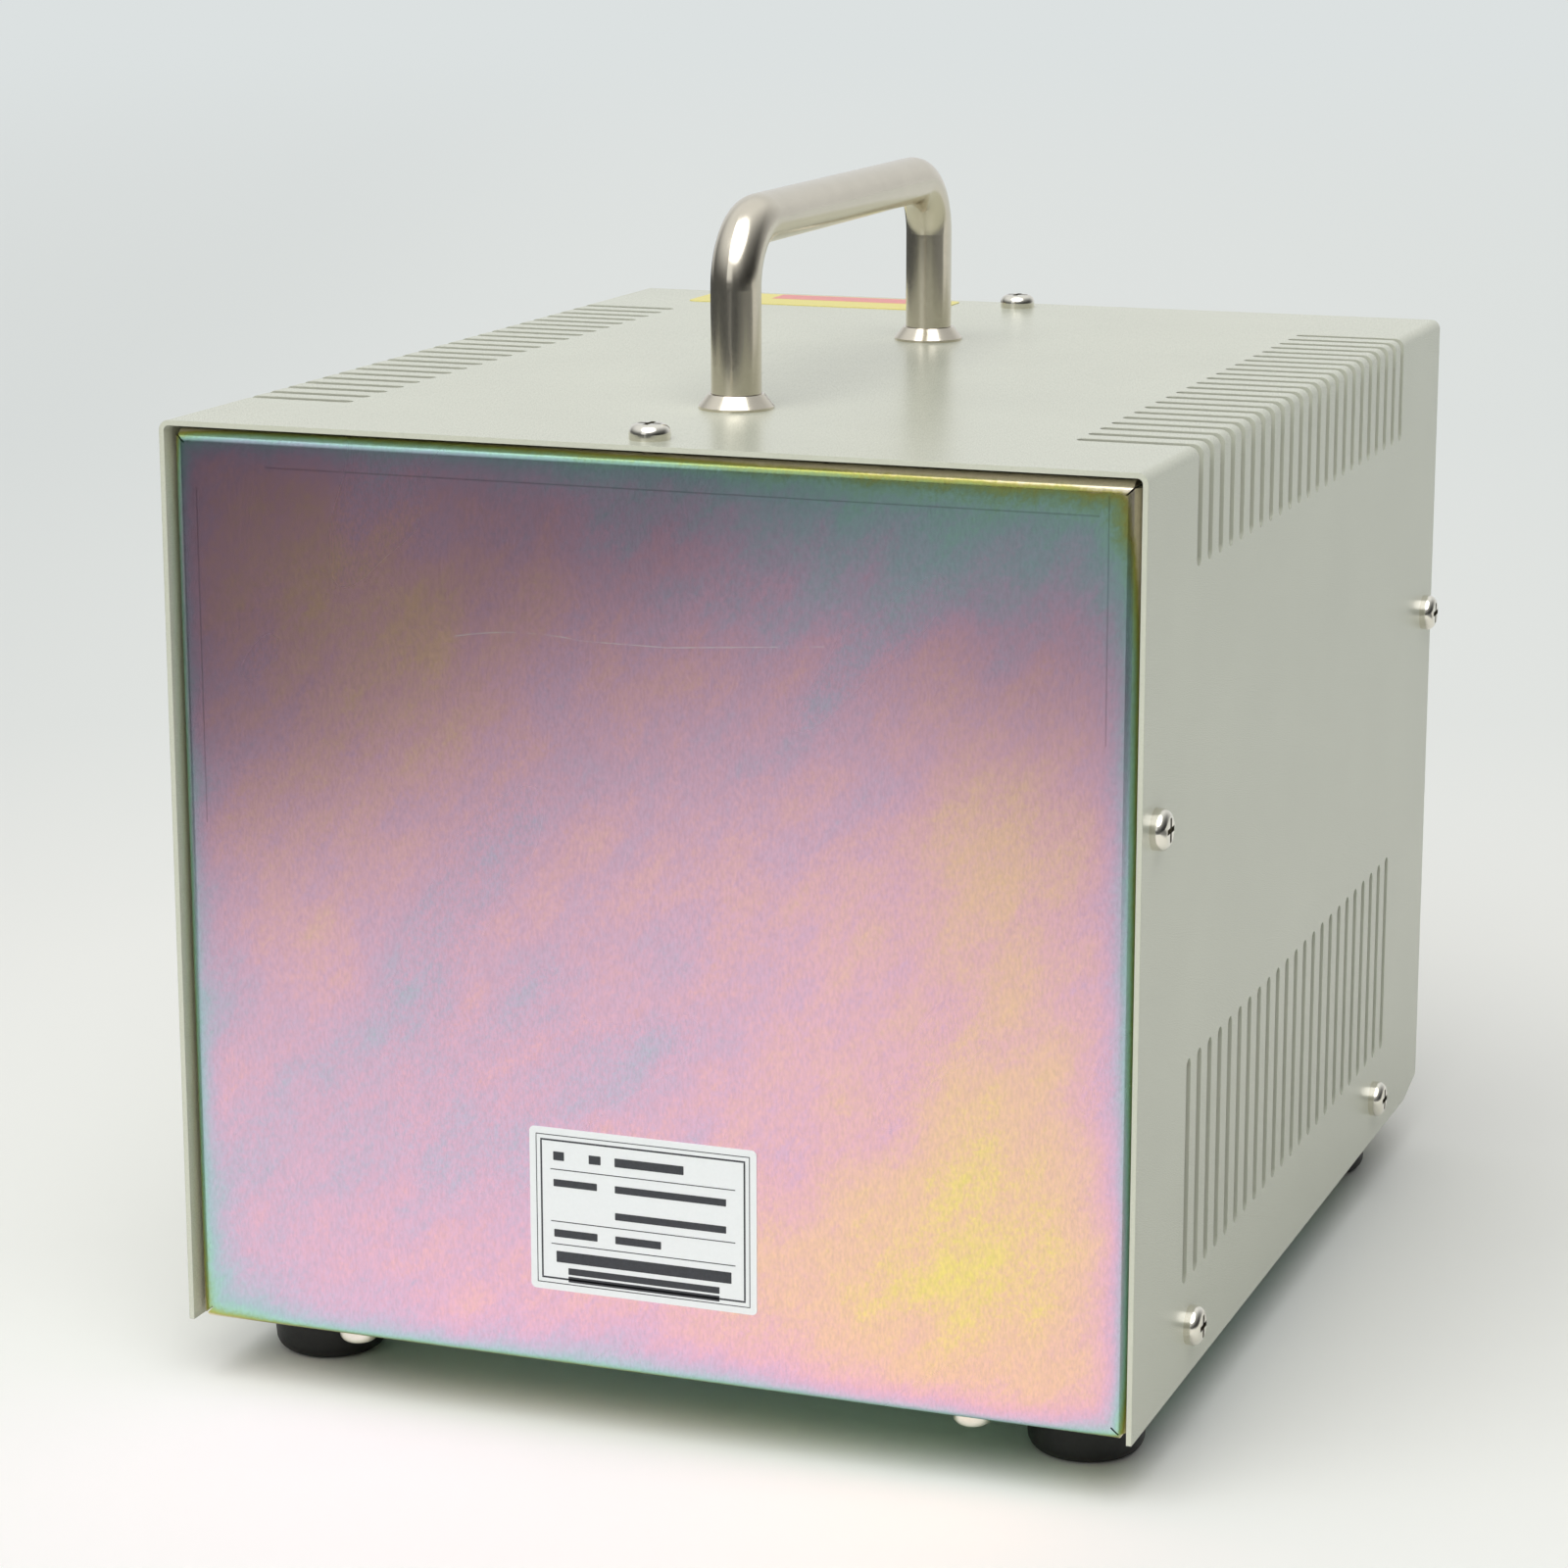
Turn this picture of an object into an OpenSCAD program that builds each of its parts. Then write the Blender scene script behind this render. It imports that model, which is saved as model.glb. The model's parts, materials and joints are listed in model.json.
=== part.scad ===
// Bench transformer in a vented steel case with a carry handle, millimetres.
// +Z is up and the control panel faces -Y. The origin is at floor level, under the middle
// of the whole outline. Places along the depth are worked out from the rear and front edges
// of the painted cover, and heights on the panels count from the cover's lower edge.

/* [Case] */
// Width across the painted cover
case_w = 190; // [180:1:205]
// Height of the painted cover
case_h = 176; // [170:1:190]
// Depth of the painted cover
case_d = 235; // [230:1:260]
// Thickness of the cover sheet
cover_t = 1; // [0.8:0.1:1.4]
// Outer radius of the cover's two long bends
cover_bend_r = 2; // [1.6:0.1:4]
// Height of the clipped front lower corners of the cover
corner_clip_h = 3; // [2:0.5:6]
// Length of the clipped front lower corners of the cover
corner_clip_d = 12; // [3:0.5:14]

/* [Panels and base] */
// Thickness of the front and rear panels
panel_t = 1.2; // [1:0.1:1.6]
// Outer radius of the panel folds
panel_bend_r = 2.2; // [1.8:0.1:3]
// Depth of the folded flanges on both panels
flange_d = 12; // [11:0.5:13]
// Corner relief at the ends of each panel fold
corner_relief = 1.2; // [0.4:0.1:1.6]
// Gap of the mitre between two folds that meet
mitre_gap = 0.3; // [0.2:0.1:0.6]
// Gap between a panel and the cover that surrounds it
panel_gap = 0.8; // [0.5:0.1:1.2]
// How far the front panel lies inside the cover's front edge
panel_recess = 3; // [2:0.5:4]
// How far the rear panel lies inside the cover's rear edge
rear_recess = 1.5; // [1:0.5:4]
// Thickness of the base plate
base_t = 1.6; // [1.2:0.1:2]
// Height of the base plate's turned-up sides
base_lip_h = 18; // [16:1:24]

/* [Vents] */
// Number of slots in each row
slot_count = 23; // [5:1:23]
// Distance from slot to slot
slot_pitch = 7.4; // [5:0.1:7.6]
// How far the rows of slots lie towards the rear from the cover's middle
slot_shift = 1.8; // [0:0.1:4]
// Width of a slot
slot_w = 3; // [0.9:0.1:3.4]
// Length of the slots on the top, from the outside in
slot_top_l = 23; // [15:1:30]
// Length of the same slots down the sides, from the top
slot_side_l = 21.6; // [15:0.2:30]
// Height of the lower slots' bottom ends
low_slot_z = 19.4; // [18:0.2:24]
// Length of the lower slots
low_slot_l = 43.4; // [20:0.2:50]

/* [Handle] */
// Diameter of the handle rod
rod_d = 9.6; // [8:0.1:12]
// Height of the handle above the cover
handle_h = 39.3; // [36:0.1:60]
// Distance between the handle's legs
handle_pitch = 112.8; // [90:0.2:120]
// Distance from the rear edge to the middle of the handle
handle_inset = 107.5; // [104:0.5:112]
// Centre-line radius of the handle's bends
handle_bend_r = 12; // [9:0.5:18]
// Diameter of the flared ferrules
ferrule_d = 14.4; // [14:0.2:18]
// Height of the flared ferrules
ferrule_h = 2.8; // [2:0.1:5]
// Wall of a ferrule at its top
ferrule_rim = 0.5; // [0.4:0.1:1]
// Diameter of the handle screws
handle_screw_d = 5; // [4:0.5:6]
// Diameter of their heads
handle_head_d = 9; // [8:0.5:12]
// Depth of the tapped holes in the handle legs
handle_tap_depth = 14; // [12:1:16]
// Diameter of the washers under the cover
handle_washer_d = 15; // [14:0.5:20]

/* [Feet] */
// Height of the cover's lower edge above the floor
foot_h = 12.5; // [11:0.5:16]
// Diameter of the rubber feet
foot_d = 24; // [20:0.5:26]
// Radius round the lower edge of a foot
foot_edge_r = 3; // [2:0.2:4]
// Distance from a foot's centre to the side of the cover
foot_side_inset = 16.6; // [15:0.2:25]
// Distance from a foot's centre to the end of the cover
foot_end_inset = 28; // [27:0.5:45]
// Diameter of the recess under a foot
foot_recess_d = 10; // [9:0.5:11]
// Thickness of the rubber between recess and base plate
foot_web = 4; // [3:0.5:5]

/* [Screws] */
// Diameter of the cover and base screws
screw_d = 4; // [3:0.5:4.5]
// Diameter of their pan heads
head_d = 7.6; // [7:0.1:9]
// Height of their pan heads
head_h = 2.9; // [2.4:0.1:3.2]
// Length of their shanks
screw_l = 7; // [6:0.5:9]
// Width of the cross recess
cross_w = 1; // [0.7:0.1:1.3]
// Length of the cross recess
cross_l = 4.4; // [3.4:0.2:5]
// Depth of the cross recess
cross_depth = 1.6; // [1:0.1:2]
// Distance of the edge screws from the cover's edges
edge_screw_inset = 8.2; // [8:0.2:9]
// Height of the middle side screws
mid_screw_z = 112; // [80:0.5:120]
// Height of the low side screws
low_screw_z = 10; // [9:0.5:11]
// Distance of the low rear side screws from the rear edge
low_rear_inset = 38; // [30:0.5:50]
// Distance of the low front side screws from the front edge
low_front_inset = 45; // [30:0.5:50]
// Distance of the base screws from the middle of the case
base_screw_x = 62.5; // [50:0.5:68]
// Outer diameter of the flange nuts
flange_nut_d = 6.6; // [6:0.1:7]
// Height of the flange nuts
flange_nut_h = 3; // [2:0.5:4]

/* [Labels] */
// Width of the rating label
label_w = 45.4; // [35:0.2:60]
// Height of the rating label
label_h = 31.8; // [25:0.2:40]
// Height of the rating label's middle
label_z = 31; // [20:0.5:60]
// Length of the sticker on the top
sticker_l = 60; // [40:1:70]
// Width of the sticker on the top
sticker_w = 19; // [12:1:24]
// Distance from the sticker's middle to the case's middle
sticker_x = 45; // [36:1:56]
// Distance of the sticker from the front edge
sticker_inset = 3; // [2:0.5:6]
// Corner radius of label and sticker
label_r = 2; // [1:0.5:3]
// Thickness of label and sticker
label_t = 0.15; // [0.1:0.05:0.3]

/* [Transformer core] */
// Width of the lamination stack
core_w = 114; // [108:1:120]
// Height of the lamination stack
core_h = 95; // [90:1:100]
// Thickness of the stack
stack_d = 60; // [50:1:64]
// Width of the middle leg
tongue_w = 38; // [34:1:40]
// Height of the yoke that the I sheets form
yoke_h = 19; // [17:1:20]
// Distance of the through bolts from the stack's edges
core_bolt_inset = 9.5; // [8:0.5:10]
// Diameter of the through bolts
core_bolt_d = 5; // [4:0.5:6]
// Clearance round a bolt in the stack
core_bolt_clear = 0.4; // [0.3:0.1:0.6]
// Thickness of the core brackets
bracket_t = 2; // [1.5:0.5:3]
// Height of the core brackets
bracket_h = 17; // [15:1:17]
// Depth of the bracket feet
bracket_d = 22; // [18:1:24]
// Distance from the core's middle to a mounting bolt
mount_bolt_x = 42; // [30:1:45]
// Hexagon size of the nuts and bolt heads, across flats
hex_af = 8; // [7:0.5:10]
// Thickness of the nuts and bolt heads
hex_h = 4; // [3:0.5:5]
// Diameter of the washers
washer_d = 10; // [9:0.5:12]
// Thickness of the washers
washer_t = 1; // [0.8:0.1:1.5]

/* [Windings] */
// Wall of the bobbin
bobbin_t = 1.5; // [1:0.1:2]
// Clearance between core and bobbin
bobbin_clear = 0.3; // [0.2:0.1:0.5]
// Build of the inner, common winding
common_build = 8; // [6:0.5:8.5]
// Build of the outer, series winding
series_build = 4.5; // [3:0.5:5]
// Thickness of the insulation between and around the windings
wrap_t = 0.6; // [0.4:0.1:1]
// Clearance between one layer and the next
layer_gap = 0.1; // [0.05:0.05:0.2]
// Clearance between the finished windings and the outer legs
coil_clear = 3.1; // [2:0.1:5]
// Room for the winding leads between the terminal block and the bobbin
winding_lead_room = 13.8; // [12:0.2:18]
// Diameter of the thermal cut-out
cutout_d = 12; // [10:1:14]
// Thickness of the thermal cut-out
cutout_h = 5; // [4:0.5:6]

/* [Mains inlet] */
// Distance from the side of the cover to the inlet's middle
inlet_x = 45; // [37:1:47]
// Height of the inlet
inlet_z = 40; // [36:1:44]
// Width of the inlet's flange
inlet_flange_w = 62; // [60:1:64]
// Height of the inlet's flange
inlet_flange_h = 34; // [33:1:37]
// Thickness of the inlet's flange
inlet_flange_t = 2.5; // [2:0.5:3]
// Width of the inlet's recess
inlet_recess_w = 30.4; // [29:0.2:31]
// Height of the inlet's recess
inlet_recess_h = 22.4; // [21:0.2:23]
// Depth of the inlet's recess
inlet_recess_d = 20; // [18:0.5:22]
// Wall round and behind the recess
inlet_wall = 2; // [1.5:0.5:2.5]
// Width of a contact blade
blade_w = 8; // [7:0.5:8.5]
// Thickness of a contact blade
blade_t = 2; // [1.5:0.5:2.5]
// Free length of a contact blade in the recess
blade_l = 17; // [15:0.5:17.5]
// Sideways distance between the two lower blades
blade_pitch = 13; // [12:0.5:14]
// Height between the upper blade and the lower ones
blade_rise = 8; // [7:0.5:9]
// Length of the solder tabs behind the inlet
inlet_tab_l = 9; // [7:0.5:12]
// Distance between the inlet's fixing screws
inlet_screw_pitch = 50; // [48:0.5:52]

/* [Outlets] */
// Distance from the side of the cover to the outlets' middle
outlet_x = 47; // [37:1:51]
// Height of the lower outlet
outlet_z = 42; // [38:1:50]
// Height from the lower outlet to the upper one
outlet_rise = 58; // [54:1:64]
// Width of an outlet's flange
outlet_flange_w = 40; // [38:1:44]
// Height of an outlet's flange
outlet_flange_h = 50; // [48:1:52]
// Thickness of an outlet's flange
outlet_flange_t = 2; // [1.5:0.5:3]
// Width of an outlet's body
outlet_w = 33; // [32:1:34]
// Height of an outlet's body
outlet_h = 28; // [27:1:30]
// How far the socket face stands out of the flange
outlet_boss = 1.5; // [1:0.5:2]
// Depth of an outlet's body behind the panel
outlet_d = 26; // [24:1:30]
// Distance between the two blade slots
socket_pitch = 12.7; // [12:0.1:13]
// Width of a blade slot
socket_slot_w = 2; // [1.8:0.1:2.4]
// Height of the line slot
line_slot_h = 7; // [6.5:0.1:8]
// Height of the neutral slot
neutral_slot_h = 8.4; // [8:0.1:9]
// Diameter of the earth hole
earth_hole_d = 5.2; // [5:0.1:5.6]
// Height from the blade slots to the earth hole
earth_rise = 11.9; // [11.5:0.1:12.2]
// Height of the blade slots above the outlet's middle
slot_rise = 4.5; // [4:0.1:5]
// Thickness of the contact leaves
leaf_t = 0.8; // [0.6:0.1:1]
// Length of the contact leaves
leaf_l = 14; // [12:0.5:16]
// Length of the tabs behind the outlets
outlet_tab_l = 8; // [6:0.5:12]
// Distance between an outlet's fixing screws
outlet_screw_pitch = 40; // [38:0.5:42]

/* [Rocker switch] */
// Distance from the side of the cover to the switch's middle
switch_x = 45; // [37:1:47]
// Height of the switch
switch_z = 134; // [128:1:138]
// Width of the switch's bezel
bezel_w = 26; // [25:0.5:28]
// Height of the switch's bezel
bezel_h = 33; // [32:0.5:36]
// Thickness of the switch's bezel
bezel_t = 2; // [1.5:0.5:2.5]
// Width of the switch's body
switch_w = 21.6; // [21:0.2:23]
// Height of the switch's body
switch_h = 29.6; // [29:0.2:31]
// Depth of the switch's body behind the panel
switch_d = 24; // [22:0.5:28]
// Width of the rocker
rocker_w = 16; // [14:0.5:16.5]
// Radius of the rocker's ends about its pivot
rocker_r = 12.4; // [11:0.2:13]
// Distance from the panel's face back to the rocker's pivot
pivot_depth = 3.5; // [3:0.5:5]
// Distance from the pivot to the middle of the rocker's face
rocker_face = 6; // [5:0.2:7]
// Thickness of the rocker behind its pivot
rocker_back = 3; // [2.5:0.5:4]
// Travel of the rocker from off to on, in degrees
rocker_throw = 24; // [16:1:26]
// Clearance round the moving rocker
rocker_clear = 0.4; // [0.3:0.1:0.6]
// Diameter of the rocker's pivot pins
pivot_d = 3; // [2.4:0.2:3.4]
// Length of each pivot pin
pivot_l = 1.8; // [1.4:0.2:2]

/* [Reset button] */
// Distance from the side of the cover to the protector's middle
reset_x = 45; // [37:1:47]
// Height of the circuit protector
reset_z = 88; // [84:1:92]
// Diameter of the threaded bush
bush_d = 10; // [9:0.5:12]
// How far the bush stands out of the panel
bush_out = 6; // [5:0.5:7]
// Diameter of the button
button_d = 6.4; // [5.6:0.2:7]
// How far the button stands out of the bush when it is reset
button_out = 3; // [2:0.5:4]
// Travel of the button when the protector trips
button_travel = 3.5; // [2:0.5:4]
// Diameter of the button's inner collar
collar_d = 9; // [8.4:0.2:10]
// Thickness of the inner collar
collar_t = 1.5; // [1:0.5:2]
// Width of the protector's body
protector_w = 16; // [14:0.5:18]
// Height of the protector's body
protector_h = 30; // [26:1:32]
// Depth of the protector's body
protector_d = 28; // [24:1:34]
// Hexagon size of the bush nut, across flats
bush_nut_af = 14; // [13:0.5:16]
// Thickness of the bush nut
bush_nut_t = 2.5; // [2:0.5:3]

/* [Pilot lamp] */
// Place of the lamp across the panel
lamp_x = 0; // [-6:1:6]
// Height of the lamp
lamp_z = 150; // [140:1:156]
// Diameter of the lamp's bezel
lamp_bezel_d = 14; // [13:0.5:16]
// Thickness of the lamp's bezel
lamp_bezel_t = 1.5; // [1:0.5:2]
// Diameter of the lamp's barrel
lamp_barrel_d = 11.6; // [11:0.2:12]
// Length of the lamp's barrel behind the panel
lamp_d = 22; // [20:1:26]
// Diameter of the lens
lens_d = 9.6; // [9:0.2:10]
// How far the lens stands out of the bezel
lens_out = 3; // [2:0.5:4]
// Depth to which the lens sits in the lamp
lens_seat = 3; // [2:0.5:4]
// Diameter of the neon bulb
bulb_d = 5.2; // [4.4:0.2:6]
// Length of the neon bulb
bulb_l = 11; // [9:0.5:12]

/* [Wiring] */
// Diameter of the internal leads
lead_d = 2.6; // [2:0.2:3]
// Distance from way to way
way_pitch = 11; // [10:0.5:12]
// Depth of the terminal block
block_d = 22; // [20:1:24]
// Height of the terminal block
block_h = 12; // [10:1:14]
// Height of the barriers between the ways
barrier_h = 5; // [4:0.5:6]
// Thickness of the barriers
barrier_t = 1.6; // [1.2:0.2:2]
// Distance from the front edge to the terminal block's middle
block_inset = 54; // [52:1:58]
// Distance of the earth stud from the front edge
stud_inset = 52; // [46:1:56]
// Distance of the earth stud from the side of the cover
stud_x = 33; // [29:1:39]

/* [Hidden] */

$fn = 48;

// Overrun of every cut past the face that it leaves
cut = 1;
// Radial play of a moving pin or slide in its bore
running_fit = 0.05;
// Play of a fixed shank or blade in its hole
seat_fit = 0.05;
// Gap between parts that are mounted side by side
side_gap = 0.3;
// Radial clearance of a screw in a sheet hole
hole_clear = 0.25;
// Length of a screw's end past its nut or plate, and of the free end of a tapped hole
thread_out = 1;
// Corner radius of the larger mouldings and of their holes in the panel
corner_r = 2;
// Corner radius of the smaller mouldings and of their holes
small_corner_r = 0.8;
// Sides of a hexagon
hex_sides = 6;

// Plan of the whole outline along the depth
front_reach = bush_out + button_out - panel_recess;
rear_y = (case_d + front_reach) / 2;
front_y = rear_y - case_d;
rear_face_y = rear_y - rear_recess;
front_face_y = front_y + panel_recess;
case_z = foot_h;
case_top = case_z + case_h;

// Panels and base plate
panel_w = case_w - 2 * (cover_t + panel_gap);
panel_h = case_h - cover_t - panel_gap;
base_under = case_z + panel_t;
base_top = base_under + base_t;
base_l = rear_face_y - front_face_y - 2 * (panel_bend_r + side_gap);
base_mid_y = (rear_face_y + front_face_y) / 2;
lip_l = rear_face_y - front_face_y - 2 * (flange_d + side_gap);
floor_w = panel_w - 2 * (panel_t + side_gap);
front_screw_depth = edge_screw_inset - panel_recess;
rear_screw_depth = edge_screw_inset - rear_recess;

// Handle
rod_r = rod_d / 2;
handle_y = rear_y - handle_inset;
handle_leg = handle_h - rod_r - handle_bend_r;

// Feet
foot_x = case_w / 2 - foot_side_inset;
foot_ys = [rear_y - foot_end_inset, front_y + foot_end_inset];
foot_edge_taper = 1;
foot_screw_l = 12;

// Places across the front panel, each from its own side of the cover
inlet_at = inlet_x - case_w / 2;
switch_at = switch_x - case_w / 2;
reset_at = reset_x - case_w / 2;
stud_at = stud_x - case_w / 2;
outlet_at = case_w / 2 - outlet_x;

// Terminal block, whose six ways each have their own leads
block_ways = 6;
block_l = block_ways * way_pitch + barrier_t;
block_y = front_y + block_inset;

// Windings, from the tube of the bobbin outwards
common_in = layer_gap;
common_out = common_in + common_build;
insulation_in = common_out + layer_gap;
insulation_out = insulation_in + wrap_t;
series_in = insulation_out + layer_gap;
series_out = series_in + series_build;
wrap_in = series_out + layer_gap;
wrap_out = wrap_in + wrap_t;
coil_corner_r = 2;

// Transformer: the windings set its window, and it stands behind the terminal block
leg_w = bobbin_clear + bobbin_t + wrap_out + coil_clear;
cheek = leg_w - 2 * bobbin_clear - bobbin_t;
tube_w = tongue_w + 2 * (bobbin_clear + bobbin_t);
tube_d = stack_d + 2 * (bobbin_clear + bobbin_t);
core_y = block_y + block_d / 2 + winding_lead_room + cheek + tube_d / 2;
core_z = base_top;
window_h = core_h - 2 * yoke_h;
core_front_y = core_y - stack_d / 2;
core_rear_y = core_y + stack_d / 2;
cheek_front_y = core_y - tube_d / 2 - cheek;
bolt_xs = [-core_w / 2 + core_bolt_inset, core_w / 2 - core_bolt_inset];
bolt_zs = [core_z + core_bolt_inset, core_z + core_h - core_bolt_inset];
bobbin_h = window_h - 2 * bobbin_clear;
bobbin_z = core_z + yoke_h + bobbin_clear;
coil_h = bobbin_h - 2 * (bobbin_t + layer_gap);
coil_z = bobbin_z + bobbin_t + layer_gap;
cutout_z = coil_z + coil_h / 2;
cutout_y = core_y - tube_d / 2 - wrap_out;
mount_bolt_y = stack_d / 2 + bracket_d - hex_af;
mount_bolt_l = bracket_t + base_t + hex_h + thread_out;
core_bolt_l = stack_d + 2 * (bracket_t + washer_t) + hex_h + thread_out;

// Small fixings of the front panel and the terminal block
small_d = 3;
small_head_d = 5.5;
small_head_h = 2;
small_l = 9;
small_nut_af = 5.5;
small_nut_h = 2.4;
small_cross_share = 0.6;
tab_w = 6.3;
tab_t = 0.8;
tab_l = 9;
tab_root = 4;

// Switch, protector and lamp
rocker_half = rocker_throw / 2;
cavity_h = 2 * (rocker_r + rocker_clear);
cavity_d = pivot_depth + rocker_r * sin(rocker_half) + rocker_back + rocker_clear;
collar_room = 0.3;
collar_wall = 1.7;
collar_rest = panel_t + collar_wall + collar_room + button_travel;
lens_fit = 0.1;
lamp_wall = 2;
bulb_seat = lamp_d - lamp_wall;
bulb_room = 0.6;

// Outlets
outlet_zs = [outlet_z, outlet_z + outlet_rise];
contact_depth = 2.5;
contact_w = socket_slot_w + 2 * leaf_t;
contact_room = 0.3;

// Ears of the terminal block, and earth stud
block_ear = 9;
block_ear_t = 3;
stud_y = front_y + stud_inset;
stud_l = 12;

// Lanes of the internal leads: along the depth behind the panel, and up from the base plate
lead_r = lead_d / 2;
lead_gap = 0.1;
lane_pitch = 2 * lead_d;
inlet_back_y = front_face_y + inlet_recess_d + inlet_wall + inlet_tab_l;
switch_back_y = front_face_y + switch_d + seat_fit + tab_l;
protector_back_y = front_face_y + panel_t + protector_d + seat_fit + tab_l;
lamp_back_y = front_face_y + lamp_d + seat_fit + tab_l;
outlet_back_y = front_face_y + outlet_d + contact_room - leaf_t + outlet_tab_l;
stud_top_z = base_under + stud_l;
function lane(i) = inlet_back_y + i * lane_pitch;
function level(i) = base_top + lead_d + i * lane_pitch;
function way_x(i) = (i - (block_ways - 1) / 2) * way_pitch;

// Sheet channel open at its lower side, with two rounded outer corners
module channel(w, h, t, r) {
    difference() {
        capped(w, h, r);
        translate([0, -t]) capped(w - 2 * t, h, max(r - t, t / 2));
    }
}

// Rectangle that stands on the X axis, with its two upper corners rounded
module capped(w, h, r) {
    translate([-w / 2, 0]) square([w, h - r]);
    translate([r - w / 2, 0]) square([w - 2 * r, h]);
    for (side = [-1, 1]) {
        translate([side * (w / 2 - r), h - r]) circle(r);
    }
}

// Rectangle about the origin with four rounded corners
module rounded(w, h, r) {
    square([w, h - 2 * r], center = true);
    square([w - 2 * r, h], center = true);
    for (sx = [-1, 1], sy = [-1, 1]) {
        translate([sx * (w / 2 - r), sy * (h / 2 - r)]) circle(r);
    }
}

// Block on the front panel's axes, from depth y0 to y1, with rounded edges along its depth
module slab(w, h, y0, y1, r) {
    translate([0, y1, 0]) rotate([90, 0, 0]) linear_extrude(y1 - y0) rounded(w, h, r);
}

// Cylinder along the depth, from y0 to y1
module barrel(d, y0, y1) {
    translate([0, y1, 0]) rotate([90, 0, 0]) cylinder(d = d, h = y1 - y0);
}

// Hexagon along the depth, from y0 to y1
module hex_barrel(af, y0, y1) {
    translate([0, y1, 0]) rotate([90, 0, 0]) hexagon(af, y1 - y0);
}

// Upright hexagonal prism by its size across flats
module hexagon(af, h) {
    cylinder(d = af / cos(180 / hex_sides), h = h, $fn = hex_sides);
}

// Block with four rounded edges round its face, and its sides and face inset from the pan's outside
module pan_block(inset) {
    r = max(panel_bend_r - inset, inset / 2);
    translate([0, -flange_d - inset, 0])
        intersection() {
            rotate([0, -90, 0]) linear_extrude(panel_w + 2 * cut, center = true)
                capped(panel_h - 2 * inset, flange_d, r);
            linear_extrude(panel_h + 2 * cut, center = true) capped(panel_w - 2 * inset, flange_d, r);
        }
}

// Folded pan with four flanges towards -Y, its outer face at y = 0 and its corners mitred
module pan() {
    slit_l = sqrt(2) * (panel_bend_r + mitre_gap);
    difference() {
        pan_block(0);
        pan_block(panel_t);
        for (sx = [-1, 1], sz = [-1, 1]) {
            translate([sx * panel_w / 2, -flange_d / 2, sz * panel_h / 2]) {
                cube([2 * corner_relief, flange_d + 2 * cut, 2 * corner_relief], center = true);
                rotate([0, -45 * sx * sz, 0])
                    cube([2 * slit_l, flange_d + 2 * cut, mitre_gap], center = true);
            }
        }
    }
}

// Places of the edge screws' holes in a pan, cut through its flanges at a depth behind its face
module pan_holes(depth) {
    hole_d = screw_d + 2 * hole_clear;
    translate([0, -depth, panel_h / 2 - panel_t - cut])
        cylinder(d = hole_d, h = panel_t + 2 * cut);
    translate([0, -depth, mid_screw_z - panel_h / 2])
        rotate([0, 90, 0]) cylinder(d = hole_d, h = panel_w + 2 * cut, center = true);
    for (side = [-1, 1]) {
        translate([side * base_screw_x, -depth, -panel_h / 2 - cut])
            cylinder(d = hole_d, h = panel_t + 2 * cut);
    }
}

// Puts its children on the front panel, whose outer face is then y = 0
module on_front(x, z) {
    translate([x, front_face_y, case_z + z]) children();
}

// Pan-head screw with its head above z = 0 and its shank below
module pan_screw(d, hd, hh, l, cw, cl, depth) {
    side_share = 0.4;
    r = hh * (1 - side_share);
    difference() {
        rotate_extrude() intersection() {
            square([hd / 2, hh]);
            union() {
                square([hd / 2, hh - r]);
                square([hd / 2 - r, hh]);
                translate([hd / 2 - r, hh - r]) circle(r);
            }
        }
        translate([-cl / 2, -cw / 2, hh - depth]) cube([cl, cw, depth + cut]);
        translate([-cw / 2, -cl / 2, hh - depth]) cube([cw, cl, depth + cut]);
    }
    translate([0, 0, -l]) cylinder(d = d, h = l);
}

module case_screw() {
    pan_screw(screw_d, head_d, head_h, screw_l, cross_w, cross_l, cross_depth);
}

module small_screw(l) {
    pan_screw(small_d, small_head_d, small_head_h, l, cross_w * small_cross_share,
        cross_l * small_cross_share, cross_depth * small_cross_share);
}

// Nut with a plain round bore that clears its screw by the seat fit
module nut(d, af, h) {
    difference() {
        hexagon(af, h);
        translate([0, 0, -cut]) cylinder(d = d + 2 * seat_fit, h = h + 2 * cut);
    }
}

module washer(d, bore, t) {
    difference() {
        cylinder(d = d, h = t);
        translate([0, 0, -cut]) cylinder(d = bore, h = t + 2 * cut);
    }
}

// Side screws that enter the panels' flanges, and those that enter the base plate's sides
function flange_places() = [
    [rear_y - edge_screw_inset, mid_screw_z], [front_y + edge_screw_inset, mid_screw_z]
];
function lip_places() = [
    [rear_y - low_rear_inset, low_screw_z], [front_y + low_front_inset, low_screw_z]
];

// Places on both sides of the cover, with the screw's axis pointing out of the case
module at_sides(places) {
    for (side = [-1, 1], place = places) {
        translate([side * case_w / 2, place[0], case_z + place[1]])
            rotate([0, side * 90, 0]) children();
    }
}

module at_top_screws() {
    for (y = [rear_y - edge_screw_inset, front_y + edge_screw_inset]) {
        translate([0, y, case_top]) children();
    }
}

module at_base_screws() {
    for (side = [-1, 1], y = [rear_y - edge_screw_inset, front_y + edge_screw_inset]) {
        translate([side * base_screw_x, y, case_z]) rotate([180, 0, 0]) children();
    }
}

module at_feet() {
    for (side = [-1, 1], y = foot_ys) {
        translate([side * foot_x, y, 0]) children();
    }
}

module at_handle_legs() {
    for (side = [-1, 1]) {
        translate([0, handle_y + side * handle_pitch / 2, case_top]) children();
    }
}

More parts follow.
